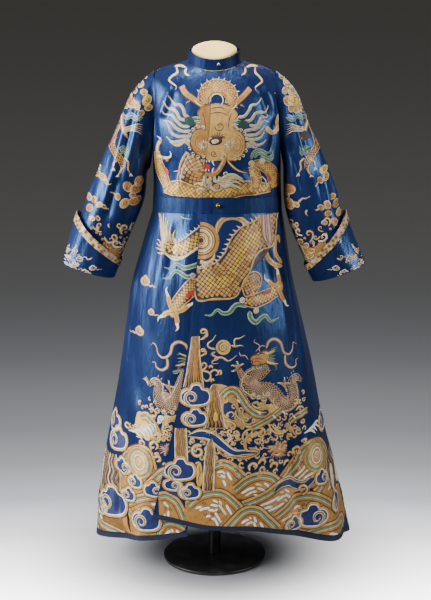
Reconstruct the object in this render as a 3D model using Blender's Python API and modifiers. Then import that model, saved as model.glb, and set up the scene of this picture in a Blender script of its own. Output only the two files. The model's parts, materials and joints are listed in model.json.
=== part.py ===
"""Chinese dragon robe on a dress form: satin panels, turned-back cuffs, collar, waistband and stand.

Metres, +Z up. The wearer faces -Y, so the wearer's left is at +X. The origin is the centre of the
stand's underside. Cloth pieces are open lofts thickened outwards, so each loft is the cloth's inside.
"""

import math

import bpy
import numpy as np
from mathutils import Vector

COLLECTION_NAME = "dragon_robe"

# Walls and clearances
CLOTH_WALL = 0.0016
BAND_WALL = 0.0026
COLLAR_WALL = 0.0020
TRIM_WALL = 0.0010
SEAM_GAP = 0.0003
HALF_SEAM = SEAM_GAP / 2
LIE_GAP = 0.0005
TRIM_GAP = 0.00075
BUTTON_GAP = 0.0002
ARMHOLE_STEP = 0.0032
UNDERARM_STEP = 0.0110
SLEEVE_TUCK = 0.0085
SLEEVE_TUCK_END = 0.8
SLEEVE_INSET = 0.0045

# Waistline: the band follows the waist and rises to the front and the back
WAIST_SIDE_Z = 1.0230
WAIST_RISE = 0.0120
BAND_HEIGHT = 0.0420
SKIRT_TOP_DROP = 0.0009

# Stand
BASE_RADIUS = 0.1475
BASE_HEIGHT = 0.0090
BASE_BEVEL = 0.0030
POLE_RADIUS = 0.0175
FORM_BOTTOM_Z = 0.8600

# Panel meshes: rows and columns of each loft
BODICE_ROWS = 14
BODICE_COLUMNS = 10
SKIRT_ROWS = 10
SKIRT_OVER_COLUMNS = 25
SKIRT_UNDER_COLUMNS = 22
SKIRT_BACK_COLUMNS = 40
SLEEVE_ROWS = 12
SLEEVE_COLUMNS = 26
CUFF_ROWS = 4
CUFF_BAND_ROWS = 2
RING_COLUMNS = 52
COLLAR_COLUMNS = 36
TORSO_COLUMNS = 32

# Waist and skirt sections, from the waist down. Half width and depths are the cloth's inside.
SECTION_COLUMNS = ("height", "half_width", "lean", "front", "back")
SKIRT_SECTIONS = (
    (1.0800, 0.1735, 0.0075, 0.1260, 0.1080),
    (1.0300, 0.1740, 0.0075, 0.1265, 0.1100),
    (0.9920, 0.1850, 0.0060, 0.1350, 0.1220),
    (0.9070, 0.2010, -0.0010, 0.1490, 0.1440),
    (0.8350, 0.2180, -0.0060, 0.1580, 0.1560),
    (0.7650, 0.2340, -0.0020, 0.1660, 0.1660),
    (0.5730, 0.2680, 0.0060, 0.1860, 0.1900),
    (0.4720, 0.2860, 0.0065, 0.1960, 0.2020),
    (0.3250, 0.3210, 0.0100, 0.2130, 0.2200),
    (0.1700, 0.3500, 0.0180, 0.2290, 0.2360),
    (0.0600, 0.3650, 0.0260, 0.2380, 0.2460),
)

# Hem height round the skirt. Turn: -90 is the front, 0 the wearer's left side, 90 the back.
HEM_COLUMNS = ("turn", "height")
HEM_OVER = (
    (-116.0, 0.196),
    (-96.0, 0.172),
    (-75.0, 0.171),
    (-55.0, 0.140),
    (-36.0, 0.102),
    (-24.0, 0.103),
    (-8.0, 0.086),
    (0.0, 0.076),
)
HEM_UNDER = (
    (-75.0, 0.160),
    (-100.0, 0.156),
    (-118.0, 0.134),
    (-141.0, 0.113),
    (-158.0, 0.099),
    (-170.0, 0.084),
    (-180.0, 0.070),
)
HEM_BACK_Z = 0.070

# Skirt folds: where each ridge or trough runs, how far it stands out at the hem, and where it starts
FOLD_COLUMNS = ("turn", "width", "height", "start")
SKIRT_FOLDS = (
    (-33.0, 10.0, 0.020, 0.30),
    (-50.0, 11.0, -0.009, 0.35),
    (-72.0, 12.0, 0.007, 0.25),
    (-141.0, 8.0, -0.014, 0.45),
    (-128.0, 9.0, 0.010, 0.30),
    (-157.0, 9.0, 0.010, 0.35),
    (-12.0, 9.0, -0.010, 0.40),
    (18.0, 10.0, 0.012, 0.30),
    (40.0, 9.0, -0.012, 0.35),
    (62.0, 11.0, 0.014, 0.25),
    (84.0, 9.0, -0.012, 0.30),
    (106.0, 11.0, 0.014, 0.25),
    (130.0, 9.0, -0.012, 0.35),
    (154.0, 10.0, 0.012, 0.30),
)
FOLD_GROWTH = 1.3

# The free front edge of the wearer's left side, which laps over the right
FRONT_EDGE_COLUMNS = ("height", "x")
FRONT_EDGE = (
    (1.440, -0.002),
    (1.270, -0.013),
    (1.180, -0.023),
    (1.040, -0.037),
    (0.886, -0.047),
    (0.725, -0.066),
    (0.563, -0.088),
    (0.370, -0.126),
    (0.160, -0.172),
)
UNDERLAP_BODICE = 0.030
UNDERLAP_SKIRT = 0.085
UNDERLAP_RAMP = 0.014
UNDERLAP_LEAD = 0.006
SKIRT_RAMP_LEAD = 0.004
SKIRT_RAMP_SPREAD = 0.030
SKIRT_LAP_SPREAD = 0.0060
SKIRT_LAP_LIFT = 0.0060
SKIRT_LIFT_REACH = 0.080
SKIRT_FRONT_RADIUS = 0.200
SIDE_SEAM_Z = 0.600
LAP_TOP_Z = 1.000
LAP_DROP = 0.800
BAND_END_X = -0.006
BAND_UNDERLAP = 0.035
COLLAR_END_X = -0.002
COLLAR_UNDERLAP = 0.018
LAP_START = 1.4
BAND_LAP_RATE = 2.0
COLLAR_LAP_RATE = 1.4

# Armhole: an upright oval on each side
ARMHOLE_TOP = (0.160, 1.400)
ARMHOLE_BOTTOM = (0.172, 1.138)
ARMHOLE_DEPTH = 0.060
BODICE_LEAN = 0.0060
LEAN_HEIGHTS = (1.078, 1.200, 1.420)

# Bodice rows: each runs from the centre line to an edge on the side seam, the armhole or the shoulder.
# turn is the armhole angle from its top, or None where the edge is given by edge_x and edge_z.
BODICE_ROW_COLUMNS = (
    "centre_y", "centre_z", "turn", "edge_x", "edge_z", "lead", "swing_x", "swing_y", "swing_z")
BODICE_FRONT = (
    (-0.1260, 1.0774, None, 0.1735, 1.0654, 0.0958, 0.000, 0.0696, 0.000),
    (-0.1295, 1.1180, None, 0.1720, 1.1010, 0.0960, 0.000, 0.0715, 0.000),
    (-0.1315, 1.1600, 180.0, 0.0, 0.0, 0.0970, 0.000, 0.0725, 0.000),
    (-0.1310, 1.1960, 146.0, 0.0, 0.0, 0.0950, 0.014, 0.0540, 0.000),
    (-0.1290, 1.2320, 118.0, 0.0, 0.0, 0.0920, 0.026, 0.0430, 0.000),
    (-0.1240, 1.2680, 90.0, 0.0, 0.0, 0.0900, 0.030, 0.0400, 0.002),
    (-0.1165, 1.3010, 62.0, 0.0, 0.0, 0.0860, 0.034, 0.0400, 0.004),
    (-0.1070, 1.3300, 36.0, 0.0, 0.0, 0.0800, 0.034, 0.0440, 0.009),
    (-0.0960, 1.3560, 0.0, 0.0, 0.0, 0.0740, 0.018, 0.0580, 0.014),
    (-0.0860, 1.3740, None, 0.1290, 1.4120, 0.0640, 0.008, 0.0580, 0.016),
    (-0.0765, 1.3910, None, 0.0980, 1.4205, 0.0500, 0.003, 0.0520, 0.014),
    (-0.0680, 1.4050, None, 0.0700, 1.4250, 0.0380, 0.000, 0.0400, 0.008),
)
BODICE_BACK = (
    (0.1080, 1.0774, None, 0.1735, 1.0654, 0.0958, 0.000, -0.0596, 0.000),
    (0.1120, 1.1180, None, 0.1720, 1.1010, 0.0960, 0.000, -0.0620, 0.000),
    (0.1170, 1.1600, 180.0, 0.0, 0.0, 0.0970, 0.000, -0.0645, 0.000),
    (0.1215, 1.2000, 146.0, 0.0, 0.0, 0.0970, 0.014, -0.0500, 0.000),
    (0.1245, 1.2400, 118.0, 0.0, 0.0, 0.0970, 0.026, -0.0400, 0.000),
    (0.1245, 1.2800, 90.0, 0.0, 0.0, 0.0950, 0.030, -0.0380, 0.002),
    (0.1205, 1.3200, 62.0, 0.0, 0.0, 0.0900, 0.034, -0.0380, 0.004),
    (0.1130, 1.3560, 36.0, 0.0, 0.0, 0.0840, 0.034, -0.0430, 0.008),
    (0.1020, 1.3860, 0.0, 0.0, 0.0, 0.0760, 0.018, -0.0580, 0.012),
    (0.0890, 1.4080, None, 0.1290, 1.4120, 0.0640, 0.008, -0.0560, 0.010),
    (0.0760, 1.4235, None, 0.0980, 1.4205, 0.0500, 0.003, -0.0500, 0.004),
    (0.0660, 1.4340, None, 0.0700, 1.4250, 0.0380, 0.000, -0.0400, -0.002),
)

# Sleeve sections from the shoulder to the wrist: outer and inner side of the tube seen from the front
SLEEVE_SECTION_COLUMNS = ("outer_x", "outer_z", "inner_x", "inner_z", "middle_y", "depth")
SLEEVE_SECTIONS = {
    "right": (
        (0.198, 1.373, 0.1850, 1.127, 0.000, 0.064),
        (0.226, 1.339, 0.1860, 1.110, 0.000, 0.068),
        (0.244, 1.298, 0.1870, 1.090, -0.002, 0.069),
        (0.271, 1.234, 0.1895, 1.062, -0.005, 0.068),
        (0.301, 1.162, 0.2000, 1.026, -0.009, 0.066),
        (0.333, 1.087, 0.2200, 0.982, -0.013, 0.063),
        (0.364, 1.012, 0.2410, 0.936, -0.018, 0.060),
        (0.391, 0.942, 0.2600, 0.890, -0.023, 0.058),
        (0.413, 0.884, 0.2770, 0.843, -0.027, 0.057),
    ),
    "left": (
        (0.198, 1.373, 0.1885, 1.117, 0.000, 0.064),
        (0.225, 1.339, 0.1890, 1.099, 0.000, 0.068),
        (0.241, 1.296, 0.1895, 1.076, -0.002, 0.069),
        (0.266, 1.232, 0.1905, 1.046, -0.005, 0.068),
        (0.296, 1.162, 0.1985, 1.008, -0.009, 0.066),
        (0.327, 1.087, 0.2130, 0.966, -0.013, 0.063),
        (0.348, 1.012, 0.2330, 0.920, -0.018, 0.060),
        (0.378, 0.942, 0.2530, 0.875, -0.023, 0.058),
        (0.411, 0.882, 0.2720, 0.832, -0.027, 0.057),
    ),
}
SLEEVE_SQUARENESS = 0.88

# Sleeve folds: turn round the tube (0 outer side, 90 front), first and last section, and height
SLEEVE_FOLD_COLUMNS = ("turn", "width", "first", "last", "height")
SLEEVE_FOLDS = (
    (64.0, 13.0, 2.5, 8.5, 0.0050),
    (84.0, 11.0, 2.5, 8.0, -0.0045),
    (103.0, 12.0, 2.0, 7.0, 0.0050),
    (124.0, 11.0, 1.0, 6.5, -0.0050),
    (30.0, 13.0, 3.0, 9.0, -0.0030),
    (-35.0, 14.0, 2.5, 8.5, 0.0040),
    (-68.0, 13.0, 2.0, 8.0, -0.0045),
    (-98.0, 14.0, 1.5, 8.5, 0.0045),
    (-128.0, 12.0, 1.0, 7.0, -0.0040),
)

# Cuff: turned back deep at the outer side and shallow at the inner side
CUFF_OUTER_DEPTH = 2.02
CUFF_INNER_DEPTH = 1.00
CUFF_SLOPE_POWER = 0.85
CUFF_STAND_OFF = 0.0110
CUFF_INNER_STAND_OFF = 0.0030
CUFF_BAND_WIDTH = 0.32
CUFF_TURN_DROP = 0.0015

# Collar top edge and the neck of the form
COLLAR_TOP_FRONT = (-0.0600, 1.4355)
COLLAR_TOP_BACK = (0.0610, 1.4680)
COLLAR_TOP_SIDE = (0.0670, 1.4570)
COLLAR_FRONT_RADIUS = 0.066
NECK_TOP_FRONT = (-0.0540, 1.4385)
NECK_TOP_BACK = (0.0550, 1.4740)
NECK_TOP_SIDE = (0.0610, 1.4600)
NECK_DOME = 0.0070
NECK_ROUNDED_SHARE = 0.93
NECK_ROUNDED_RISE = 0.45
NECK_CROWN_SHARE = 0.62
TOP_RISE = 1.5
NECK_ROOT_CLEARANCE = 0.0060
FORM_CLEARANCE = 0.0070
SHOULDER_CLEARANCE = 0.0015
SHOULDER_SEAT_DEPTH = 0.020
SHOULDER_SEAT_END = 0.115
SHOULDER_SEAT_Z = 1.396

# Dress form below the waist, and the bodice rows that its chest follows from inside
FORM_LEAN = 0.006
FORM_HIP_COLUMNS = ("height", "half_width", "front", "back")
FORM_HIP_SECTIONS = (
    (0.860, 0.150, 0.092, 0.092),
    (0.872, 0.163, 0.105, 0.105),
    (0.930, 0.171, 0.114, 0.116),
    (0.985, 0.168, 0.114, 0.108),
    (1.035, 0.161, 0.115, 0.100),
)
FORM_CHEST_LEVELS = (0.6, 2.0, 3.2, 4.4, 5.6, 6.7, 7.5, 8.0, 8.6, 9.3, 10.0, 10.6, 11.0)

HEM_BINDING_HEIGHT = 0.013

COLLAR_BUTTON_RADIUS = 0.0050
COLLAR_BUTTON_X = 0.010
COLLAR_BUTTON_Z = 1.4230
WAIST_BUTTON_RADIUS = 0.0068
WAIST_BUTTON_X = 0.009
BUTTON_DOME = 0.78
BUTTON_SHANK = 0.22
BUTTON_BACK = 0.86

COLOURS = {
    "satin": (0.040, 0.088, 0.220, 1.0),
    "satin_dark": (0.016, 0.034, 0.100, 1.0),
    "gold_brocade": (0.500, 0.330, 0.120, 1.0),
    "linen": (0.830, 0.700, 0.510, 1.0),
    "black_gloss": (0.010, 0.010, 0.012, 1.0),
    "brass": (0.620, 0.440, 0.160, 1.0),
    "silver": (0.600, 0.600, 0.620, 1.0),
}


def clear_scene():
    for scene_object in list(bpy.data.objects):
        bpy.data.objects.remove(scene_object, do_unlink=True)


def make_material(name, colour, roughness, metallic=0.0):
    material = bpy.data.materials.new(name)
    material.use_nodes = True
    shader = material.node_tree.nodes["Principled BSDF"]
    shader.inputs["Base Color"].default_value = COLOURS[colour]
    shader.inputs["Roughness"].default_value = roughness
    shader.inputs["Metallic"].default_value = metallic
    return material


def add_object(name, mesh, collection, material):
    piece = bpy.data.objects.new(name, mesh)
    piece.data.materials.append(material)
    collection.objects.link(piece)
    return piece


def smoothstep(value):
    limited = np.clip(value, 0.0, 1.0)
    return limited * limited * (3.0 - 2.0 * limited)


def column(table, names, name):
    return np.array([row[names.index(name)] for row in table], dtype=float)


def follow(table, position):
    """Smooth curve through evenly numbered rows of values, read at a fractional row number."""
    rows = np.asarray(table, dtype=float)
    index = int(np.clip(math.floor(position), 0, len(rows) - 2))
    part = position - index
    before = rows[max(index - 1, 0)]
    start = rows[index]
    end = rows[index + 1]
    after = rows[min(index + 2, len(rows) - 1)]
    slope_start = (end - before) / 2.0
    slope_end = (after - start) / 2.0
    square = part * part
    cube = square * part
    return (
        start * (2 * cube - 3 * square + 1)
        + slope_start * (cube - 2 * square + part)
        + end * (3 * square - 2 * cube)
        + slope_end * (cube - square)
    )


# ---------------------------------------------------------------- skirt and waist


def section_at(height):
    """Half width, lean, front and back depth of the waist or skirt at a height."""
    heights = column(SKIRT_SECTIONS, SECTION_COLUMNS, "height")
    place = np.interp(-height, -heights, np.arange(len(heights)))
    values = follow(np.array(SKIRT_SECTIONS)[:, 1:], float(place))
    return dict(zip(SECTION_COLUMNS[1:], values))


def ring_point(turn, height):
    """Point of the smooth skirt or waist oval; turn in degrees, -90 at the front."""
    section = section_at(height)
    angle = math.radians(turn)
    depth = section["front"] if math.sin(angle) < 0 else section["back"]
    x = section["lean"] + section["half_width"] * math.cos(angle)
    return np.array([x, depth * math.sin(angle), height])


def turn_at_front(x, height):
    """Turn at which the front of the oval has this x."""
    section = section_at(height)
    share = (x - section["lean"]) / section["half_width"]
    return -math.degrees(math.acos(max(-1.0, min(1.0, share))))


def front_edge_x(height):
    heights = column(FRONT_EDGE, FRONT_EDGE_COLUMNS, "height")
    places = column(FRONT_EDGE, FRONT_EDGE_COLUMNS, "x")
    return float(np.interp(-height, -heights, places))


def waist_bottom(turn):
    return WAIST_SIDE_Z + WAIST_RISE * math.sin(math.radians(turn)) ** 2


def hem_height(table, turn):
    turns = column(table, HEM_COLUMNS, "turn")
    heights = column(table, HEM_COLUMNS, "height")
    order = np.argsort(turns)
    return float(np.interp(turn, turns[order], heights[order]))


def fold_offset(turn, fall):
    """How far the folds move the skirt out at this turn; fall is 0 at the waist and 1 at the hem."""
    offset = 0.0
    for row in SKIRT_FOLDS:
        fold = dict(zip(FOLD_COLUMNS, row))
        distance = (turn - fold["turn"] + 180.0) % 360.0 - 180.0
        growth = max(0.0, (fall - fold["start"]) / (1.0 - fold["start"]))
        offset += fold["height"] * growth ** FOLD_GROWTH * math.exp(-((distance / fold["width"]) ** 2))
    return offset


def skirt_point(turn, fall, hem, extra=0.0):
    """Inside of the skirt cloth at a turn and a fall from the waist (0) to the hem (1)."""
    top = waist_bottom(turn) - SKIRT_TOP_DROP
    height = top + (hem - top) * fall
    point = ring_point(turn, height)
    outward = point - np.array([section_at(height)["lean"], 0.0, height])
    outward /= np.linalg.norm(outward)
    return point + outward * (fold_offset(turn, fall) + extra)


def arc_turn(turn, height, distance):
    """Turn reached by moving a distance along the oval."""
    here = ring_point(turn, height)
    there = ring_point(turn + 1.0, height)
    return turn + distance / float(np.linalg.norm(there - here))


def front_edge_turn(fall):
    """Turn of the lapped front edge at this fall."""
    top = waist_bottom(-90.0)
    height = top + (HEM_OVER[0][1] - top) * fall
    return turn_at_front(front_edge_x(height), height)


def skirt_over_grid():
    """Wearer's left front of the skirt, from its free front edge to the left side seam."""
    grid = []
    for fall in np.linspace(0.0, 1.0, SKIRT_ROWS + 1):
        free_edge = front_edge_turn(fall)
        side = arc_turn(0.0, SIDE_SEAM_Z, -HALF_SEAM)
        line = []
        for turn in np.linspace(free_edge, side, SKIRT_OVER_COLUMNS + 1):
            near_edge = math.radians(turn - free_edge) * SKIRT_FRONT_RADIUS / SKIRT_LIFT_REACH
            lift = SKIRT_LAP_LIFT * fall * (1.0 - smoothstep(near_edge))
            hem = hem_height(HEM_OVER, turn)
            line.append(skirt_point(turn, fall, hem, lift))
        grid.append(line)
    return np.array(grid)


def skirt_under_grid():
    """Wearer's right front of the skirt, which passes beneath the lapped edge."""
    grid = []
    for fall in np.linspace(0.0, 1.0, SKIRT_ROWS + 1):
        edge = front_edge_turn(fall)
        height = LAP_TOP_Z - LAP_DROP * fall
        last = arc_turn(edge, height, UNDERLAP_SKIRT * (1.0 + fall) / 2)
        side = arc_turn(-180.0, SIDE_SEAM_Z, HALF_SEAM)
        line = []
        for turn in np.linspace(side, last, SKIRT_UNDER_COLUMNS + 1):
            ramp_start = arc_turn(edge, height, -UNDERLAP_RAMP - SKIRT_RAMP_LEAD - SKIRT_RAMP_SPREAD * fall)
            ramp_end = arc_turn(edge, height, -SKIRT_RAMP_LEAD)
            share = smoothstep((turn - ramp_start) / (ramp_end - ramp_start))
            inset = (CLOTH_WALL + LIE_GAP + SKIRT_LAP_SPREAD * fall) * share
            hem = hem_height(HEM_UNDER, turn)
            line.append(skirt_point(turn, fall, hem, -inset))
        grid.append(line)
    return np.array(grid)


def skirt_back_grid():
    """Back of the skirt, from the wearer's left side seam to the right one."""
    first = arc_turn(0.0, SIDE_SEAM_Z, HALF_SEAM)
    last = arc_turn(180.0, SIDE_SEAM_Z, -HALF_SEAM)
    left_hem = hem_height(HEM_OVER, 0.0)
    right_hem = hem_height(HEM_UNDER, -180.0)
    grid = []
    for fall in np.linspace(0.0, 1.0, SKIRT_ROWS + 1):
        line = []
        for turn in np.linspace(first, last, SKIRT_BACK_COLUMNS + 1):
            side_hem = left_hem + (right_hem - left_hem) * turn / 180.0
            hem = side_hem + (HEM_BACK_Z - side_hem) * math.sin(math.radians(turn))
            line.append(skirt_point(turn, fall, hem))
        grid.append(line)
    return np.array(grid)


# ---------------------------------------------------------------- bodice


def armhole_point(turn, front=True):
    """Point of the armhole oval on the +X side, turn in degrees from its top."""
    angle = math.radians(turn)
    top = np.array([ARMHOLE_TOP[0], 0.0, ARMHOLE_TOP[1]])
    bottom = np.array([ARMHOLE_BOTTOM[0], 0.0, ARMHOLE_BOTTOM[1]])
    depth = -ARMHOLE_DEPTH if front else ARMHOLE_DEPTH
    forward = np.array([0.0, depth * math.sin(angle), 0.0])
    return (top + bottom) / 2 + (top - bottom) / 2 * math.cos(angle) + forward


def bodice_controls(table, front):
    """The four Bezier points of each row: centre, lead, swing and edge."""
    controls = []
    for row in table:
        names = dict(zip(BODICE_ROW_COLUMNS, row))
        centre = np.array([0.0, names["centre_y"], names["centre_z"]])
        if names["turn"] is None:
            edge = np.array([names["edge_x"], 0.0, names["edge_z"]])
        else:
            edge = armhole_point(names["turn"], front)
        lead = centre + np.array([names["lead"], 0.0, 0.0])
        swing = edge - np.array([names["swing_x"], names["swing_y"], names["swing_z"]])
        controls.append((centre, lead, swing, edge))
    return np.array(controls)


def bezier(controls, share):
    rest = 1.0 - share
    return (
        controls[0] * rest ** 3
        + controls[1] * 3 * rest * rest * share
        + controls[2] * 3 * rest * share * share
        + controls[3] * share ** 3
    )


def bodice_point(controls, level, share):
    """Point on the bodice; level is a fractional row, share runs -1 (right edge) to 1 (left edge)."""
    row = follow(controls.reshape(len(controls), -1), level).reshape(4, 3)
    point = bezier(row, abs(share))
    point[0] = math.copysign(point[0], share)
    point[0] += bodice_lean(point[2])
    return point


def bodice_lean(height):
    """Sideways shift of the bodice, from nothing at the neck to the waist's own lean."""
    return float(np.interp(height, LEAN_HEIGHTS, (section_at(LEAN_HEIGHTS[0])["lean"], BODICE_LEAN, 0.0)))


def bodice_share_at(controls, level, x):
    """Share of the row at which the bodice reaches this x, on the centre part of the front."""
    low, high = -0.9, 0.9
    for _ in range(30):
        middle = (low + high) / 2
        if bodice_point(controls, level, middle)[0] < x:
            low = middle
        else:
            high = middle
    return (low + high) / 2


def bodice_levels(controls):
    """Row positions spread evenly along the side, armhole and shoulder edge."""
    fine = np.linspace(0, len(controls) - 1, 200)
    edge = np.array([bodice_point(controls, level, 1.0) for level in fine])
    steps = np.linalg.norm(np.diff(edge, axis=0), axis=1)
    length = np.concatenate([[0.0], np.cumsum(steps)])
    return np.interp(np.linspace(0, length[-1], BODICE_ROWS + 1), length, fine)


def normals_of(grid):
    """Unit normals of an open grid of points, by central differences."""
    along = np.gradient(grid, axis=1)
    down = np.gradient(grid, axis=0)
    normals = np.cross(along, down)
    return normals / np.linalg.norm(normals, axis=2, keepdims=True)


def keep_from_seam(grid, front):
    """Hold a panel half the seam gap short of the side and shoulder seams, which lie at y = 0."""
    held = grid.copy()
    if front:
        held[:, :, 1] = np.minimum(grid[:, :, 1], -HALF_SEAM)
    else:
        held[:, :, 1] = np.maximum(grid[:, :, 1], HALF_SEAM)
    return held


def bodice_over_grid():
    """Wearer's left front, from its free edge to the side, armhole and shoulder."""
    controls = bodice_controls(BODICE_FRONT, True)
    grid = []
    for level in bodice_levels(controls):
        height = bodice_point(controls, level, 0.0)[2]
        first = bodice_share_at(controls, level, front_edge_x(height))
        shares = np.linspace(first, 1.0, BODICE_COLUMNS + 2)
        grid.append([bodice_point(controls, level, share) for share in shares])
    return keep_from_seam(np.array(grid), True)


def bodice_under_grid():
    """Wearer's right front, which passes beneath the lapped edge."""
    controls = bodice_controls(BODICE_FRONT, True)
    grid = []
    insets = []
    for level in bodice_levels(controls):
        height = bodice_point(controls, level, 0.0)[2]
        edge_x = front_edge_x(height)
        last = bodice_share_at(controls, level, edge_x + UNDERLAP_BODICE)
        line = [bodice_point(controls, level, share) for share in np.linspace(-1.0, last, BODICE_COLUMNS + 3)]
        grid.append(line)
        places = np.array([point[0] for point in line])
        ramp = (places - (edge_x - UNDERLAP_RAMP - UNDERLAP_LEAD)) / UNDERLAP_RAMP
        insets.append((CLOTH_WALL + 2 * LIE_GAP) * smoothstep(ramp))
    grid = keep_from_seam(np.array(grid), True)
    return grid - outward_normals(grid) * np.array(insets)[:, :, None]


def bodice_back_grid():
    controls = bodice_controls(BODICE_BACK, False)
    grid = []
    for level in bodice_levels(controls):
        shares = np.linspace(1.0, -1.0, 2 * BODICE_COLUMNS + 1)
        grid.append([bodice_point(controls, level, share) for share in shares])
    return keep_from_seam(np.array(grid), False)


def outward_normals(grid):
    """Normals of an open grid, turned to point away from the body's axis."""
    normals = normals_of(grid)
    middle = normals[grid.shape[0] // 2, grid.shape[1] // 2]
    place = grid[grid.shape[0] // 2, grid.shape[1] // 2] * np.array([1.0, 1.0, 0.0])
    return normals if float(np.dot(middle, place)) > 0 else -normals


# ---------------------------------------------------------------- sleeves and cuffs


def sleeve_point(side, position, turn, extra=0.0):
    """Inside of a sleeve; position runs 0 (armhole) to 9 (wrist), turn 0 is the outer side, 90 the front."""
    sign = 1.0 if side == "left" else -1.0
    armhole = (
        ARMHOLE_TOP[0] + sign * bodice_lean(ARMHOLE_TOP[1]) + ARMHOLE_STEP,
        ARMHOLE_TOP[1],
        ARMHOLE_BOTTOM[0] + sign * bodice_lean(ARMHOLE_BOTTOM[1]) + UNDERARM_STEP,
        ARMHOLE_BOTTOM[1],
        0.0,
        ARMHOLE_DEPTH - SLEEVE_INSET,
    )
    rows = (armhole,) + SLEEVE_SECTIONS[side]
    section = dict(zip(SLEEVE_SECTION_COLUMNS, follow(rows, position)))
    outer = np.array([sign * section["outer_x"], section["middle_y"], section["outer_z"]])
    inner = np.array([sign * section["inner_x"], section["middle_y"], section["inner_z"]])
    angle = math.radians(turn)
    square = 1.0 - (1.0 - SLEEVE_SQUARENESS) * min(1.0, position / 3.0)
    across = math.copysign(abs(math.cos(angle)) ** square, math.cos(angle))
    deep = math.copysign(abs(math.sin(angle)) ** square, math.sin(angle))
    half = (outer - inner) / 2
    direction = half / np.linalg.norm(half) * math.cos(angle) + np.array([0.0, -math.sin(angle), 0.0])
    offset = extra + sleeve_fold(position, turn)
    tuck = SLEEVE_TUCK * math.sin(angle) ** 2 * (1.0 - smoothstep(position / SLEEVE_TUCK_END))
    middle = (outer + inner) / 2 - np.array([sign * tuck, section["depth"] * deep, 0.0])
    return middle + half * across + direction * offset


def sleeve_fold(position, turn):
    offset = 0.0
    for row in SLEEVE_FOLDS:
        fold = dict(zip(SLEEVE_FOLD_COLUMNS, row))
        distance = (turn - fold["turn"] + 180.0) % 360.0 - 180.0
        start = smoothstep((position - fold["first"]) / 1.5)
        end = smoothstep((fold["last"] - position) / 1.5)
        offset += fold["height"] * start * end * math.exp(-((distance / fold["width"]) ** 2))
    return offset


def sleeve_grid(side):
    positions = np.linspace(0.0, 9.0, SLEEVE_ROWS + 1)
    turns = np.linspace(0.0, 360.0, SLEEVE_COLUMNS, endpoint=False)
    return np.array([[sleeve_point(side, position, turn) for turn in turns] for position in positions])


def cuff_top_position(turn):
    """Sleeve position of the cuff's slanting top edge."""
    outer_share = ((1.0 + math.cos(math.radians(turn))) / 2.0) ** CUFF_SLOPE_POWER
    return 9.0 - CUFF_INNER_DEPTH - (CUFF_OUTER_DEPTH - CUFF_INNER_DEPTH) * outer_share


def cuff_point(side, share, turn, extra=0.0):
    """Inside of a cuff; share runs 0 at the fold at the wrist to 1 at the top edge."""
    position = 9.0 - (9.0 - cuff_top_position(turn)) * share
    outer_share = (1.0 + math.cos(math.radians(turn))) / 2.0
    stand_off = CUFF_INNER_STAND_OFF + (CUFF_STAND_OFF - CUFF_INNER_STAND_OFF) * outer_share
    lie = CLOTH_WALL + 2 * LIE_GAP
    return sleeve_point(side, position, turn, lie + stand_off * share + extra)


def cuff_grid(side):
    turns = np.linspace(0.0, 360.0, SLEEVE_COLUMNS, endpoint=False)
    grid = np.array([
        [cuff_point(side, share, turn) for turn in turns] for share in np.linspace(0.0, 1.0, CUFF_ROWS + 1)
    ])
    grid[0, :, 2] -= CUFF_TURN_DROP
    return grid


def cuff_band_grid(side):
    turns = np.linspace(0.0, 360.0, SLEEVE_COLUMNS, endpoint=False)
    grid = []
    for row in range(CUFF_BAND_ROWS + 1):
        line = []
        for turn in turns:
            width = CUFF_BAND_WIDTH / (9.0 - cuff_top_position(turn))
            share = 1.0 - width * (1.0 - row / CUFF_BAND_ROWS)
            line.append(cuff_point(side, share, turn, CLOTH_WALL + TRIM_GAP))
        grid.append(line)
    return np.array(grid)


# ---------------------------------------------------------------- waistband, collar, binding


def waistband_grid():
    """Band from its over end at the front, round the wearer's left side and back, to its under end."""
    over_end = turn_at_front(BAND_END_X, WAIST_SIDE_Z)
    under_end = turn_at_front(BAND_END_X + BAND_UNDERLAP, WAIST_SIDE_Z)
    grid = []
    for share in (0.0, 1.0):
        line = []
        for turn in np.linspace(over_end, under_end + 360.0, RING_COLUMNS + 1):
            height = waist_bottom(turn) + (BAND_HEIGHT - SEAM_GAP) * share
            point = ring_point(turn, height)
            past = (turn - 360.0 - over_end) / (under_end - over_end)
            inset = (BAND_WALL + LIE_GAP) * smoothstep(LAP_START + past * BAND_LAP_RATE)
            outward = point * np.array([1.0, 1.0, 0.0])
            outward /= np.linalg.norm(outward)
            line.append(point - outward * inset)
        grid.append(line)
    return np.array(grid)


def neckline_points(count):
    """Closed neckline of the bodice from the front centre, towards the wearer's left."""
    front = bodice_controls(BODICE_FRONT, True)
    back = bodice_controls(BODICE_BACK, False)
    last = len(front) - 1
    points = [bodice_point(front, last, share) for share in np.linspace(0.0, 1.0, 20)]
    points += [bodice_point(back, last, share) for share in np.linspace(1.0, -1.0, 40)[1:]]
    points += [bodice_point(front, last, share) for share in np.linspace(-1.0, 0.0, 20)[1:]]
    return resample(np.array(points), count)


def resample(points, count):
    """Points of a closed line spaced evenly; the line's last point repeats its first."""
    steps = np.linalg.norm(np.diff(points, axis=0), axis=1)
    length = np.concatenate([[0.0], np.cumsum(steps)])
    places = np.linspace(0.0, length[-1], count, endpoint=False)
    return np.column_stack([np.interp(places, length, points[:, axis]) for axis in range(3)])


def oval_top(turn, front, back, side):
    """Point of a tilted oval given by its front, back and side (y, z) or (x, z) pairs."""
    angle = math.radians(turn)
    depth, height = front if math.sin(angle) < 0 else back
    share = abs(math.sin(angle))
    y = depth * share
    return np.array([side[0] * math.cos(angle), y, side[1] + (height - side[1]) * share ** TOP_RISE])


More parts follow.
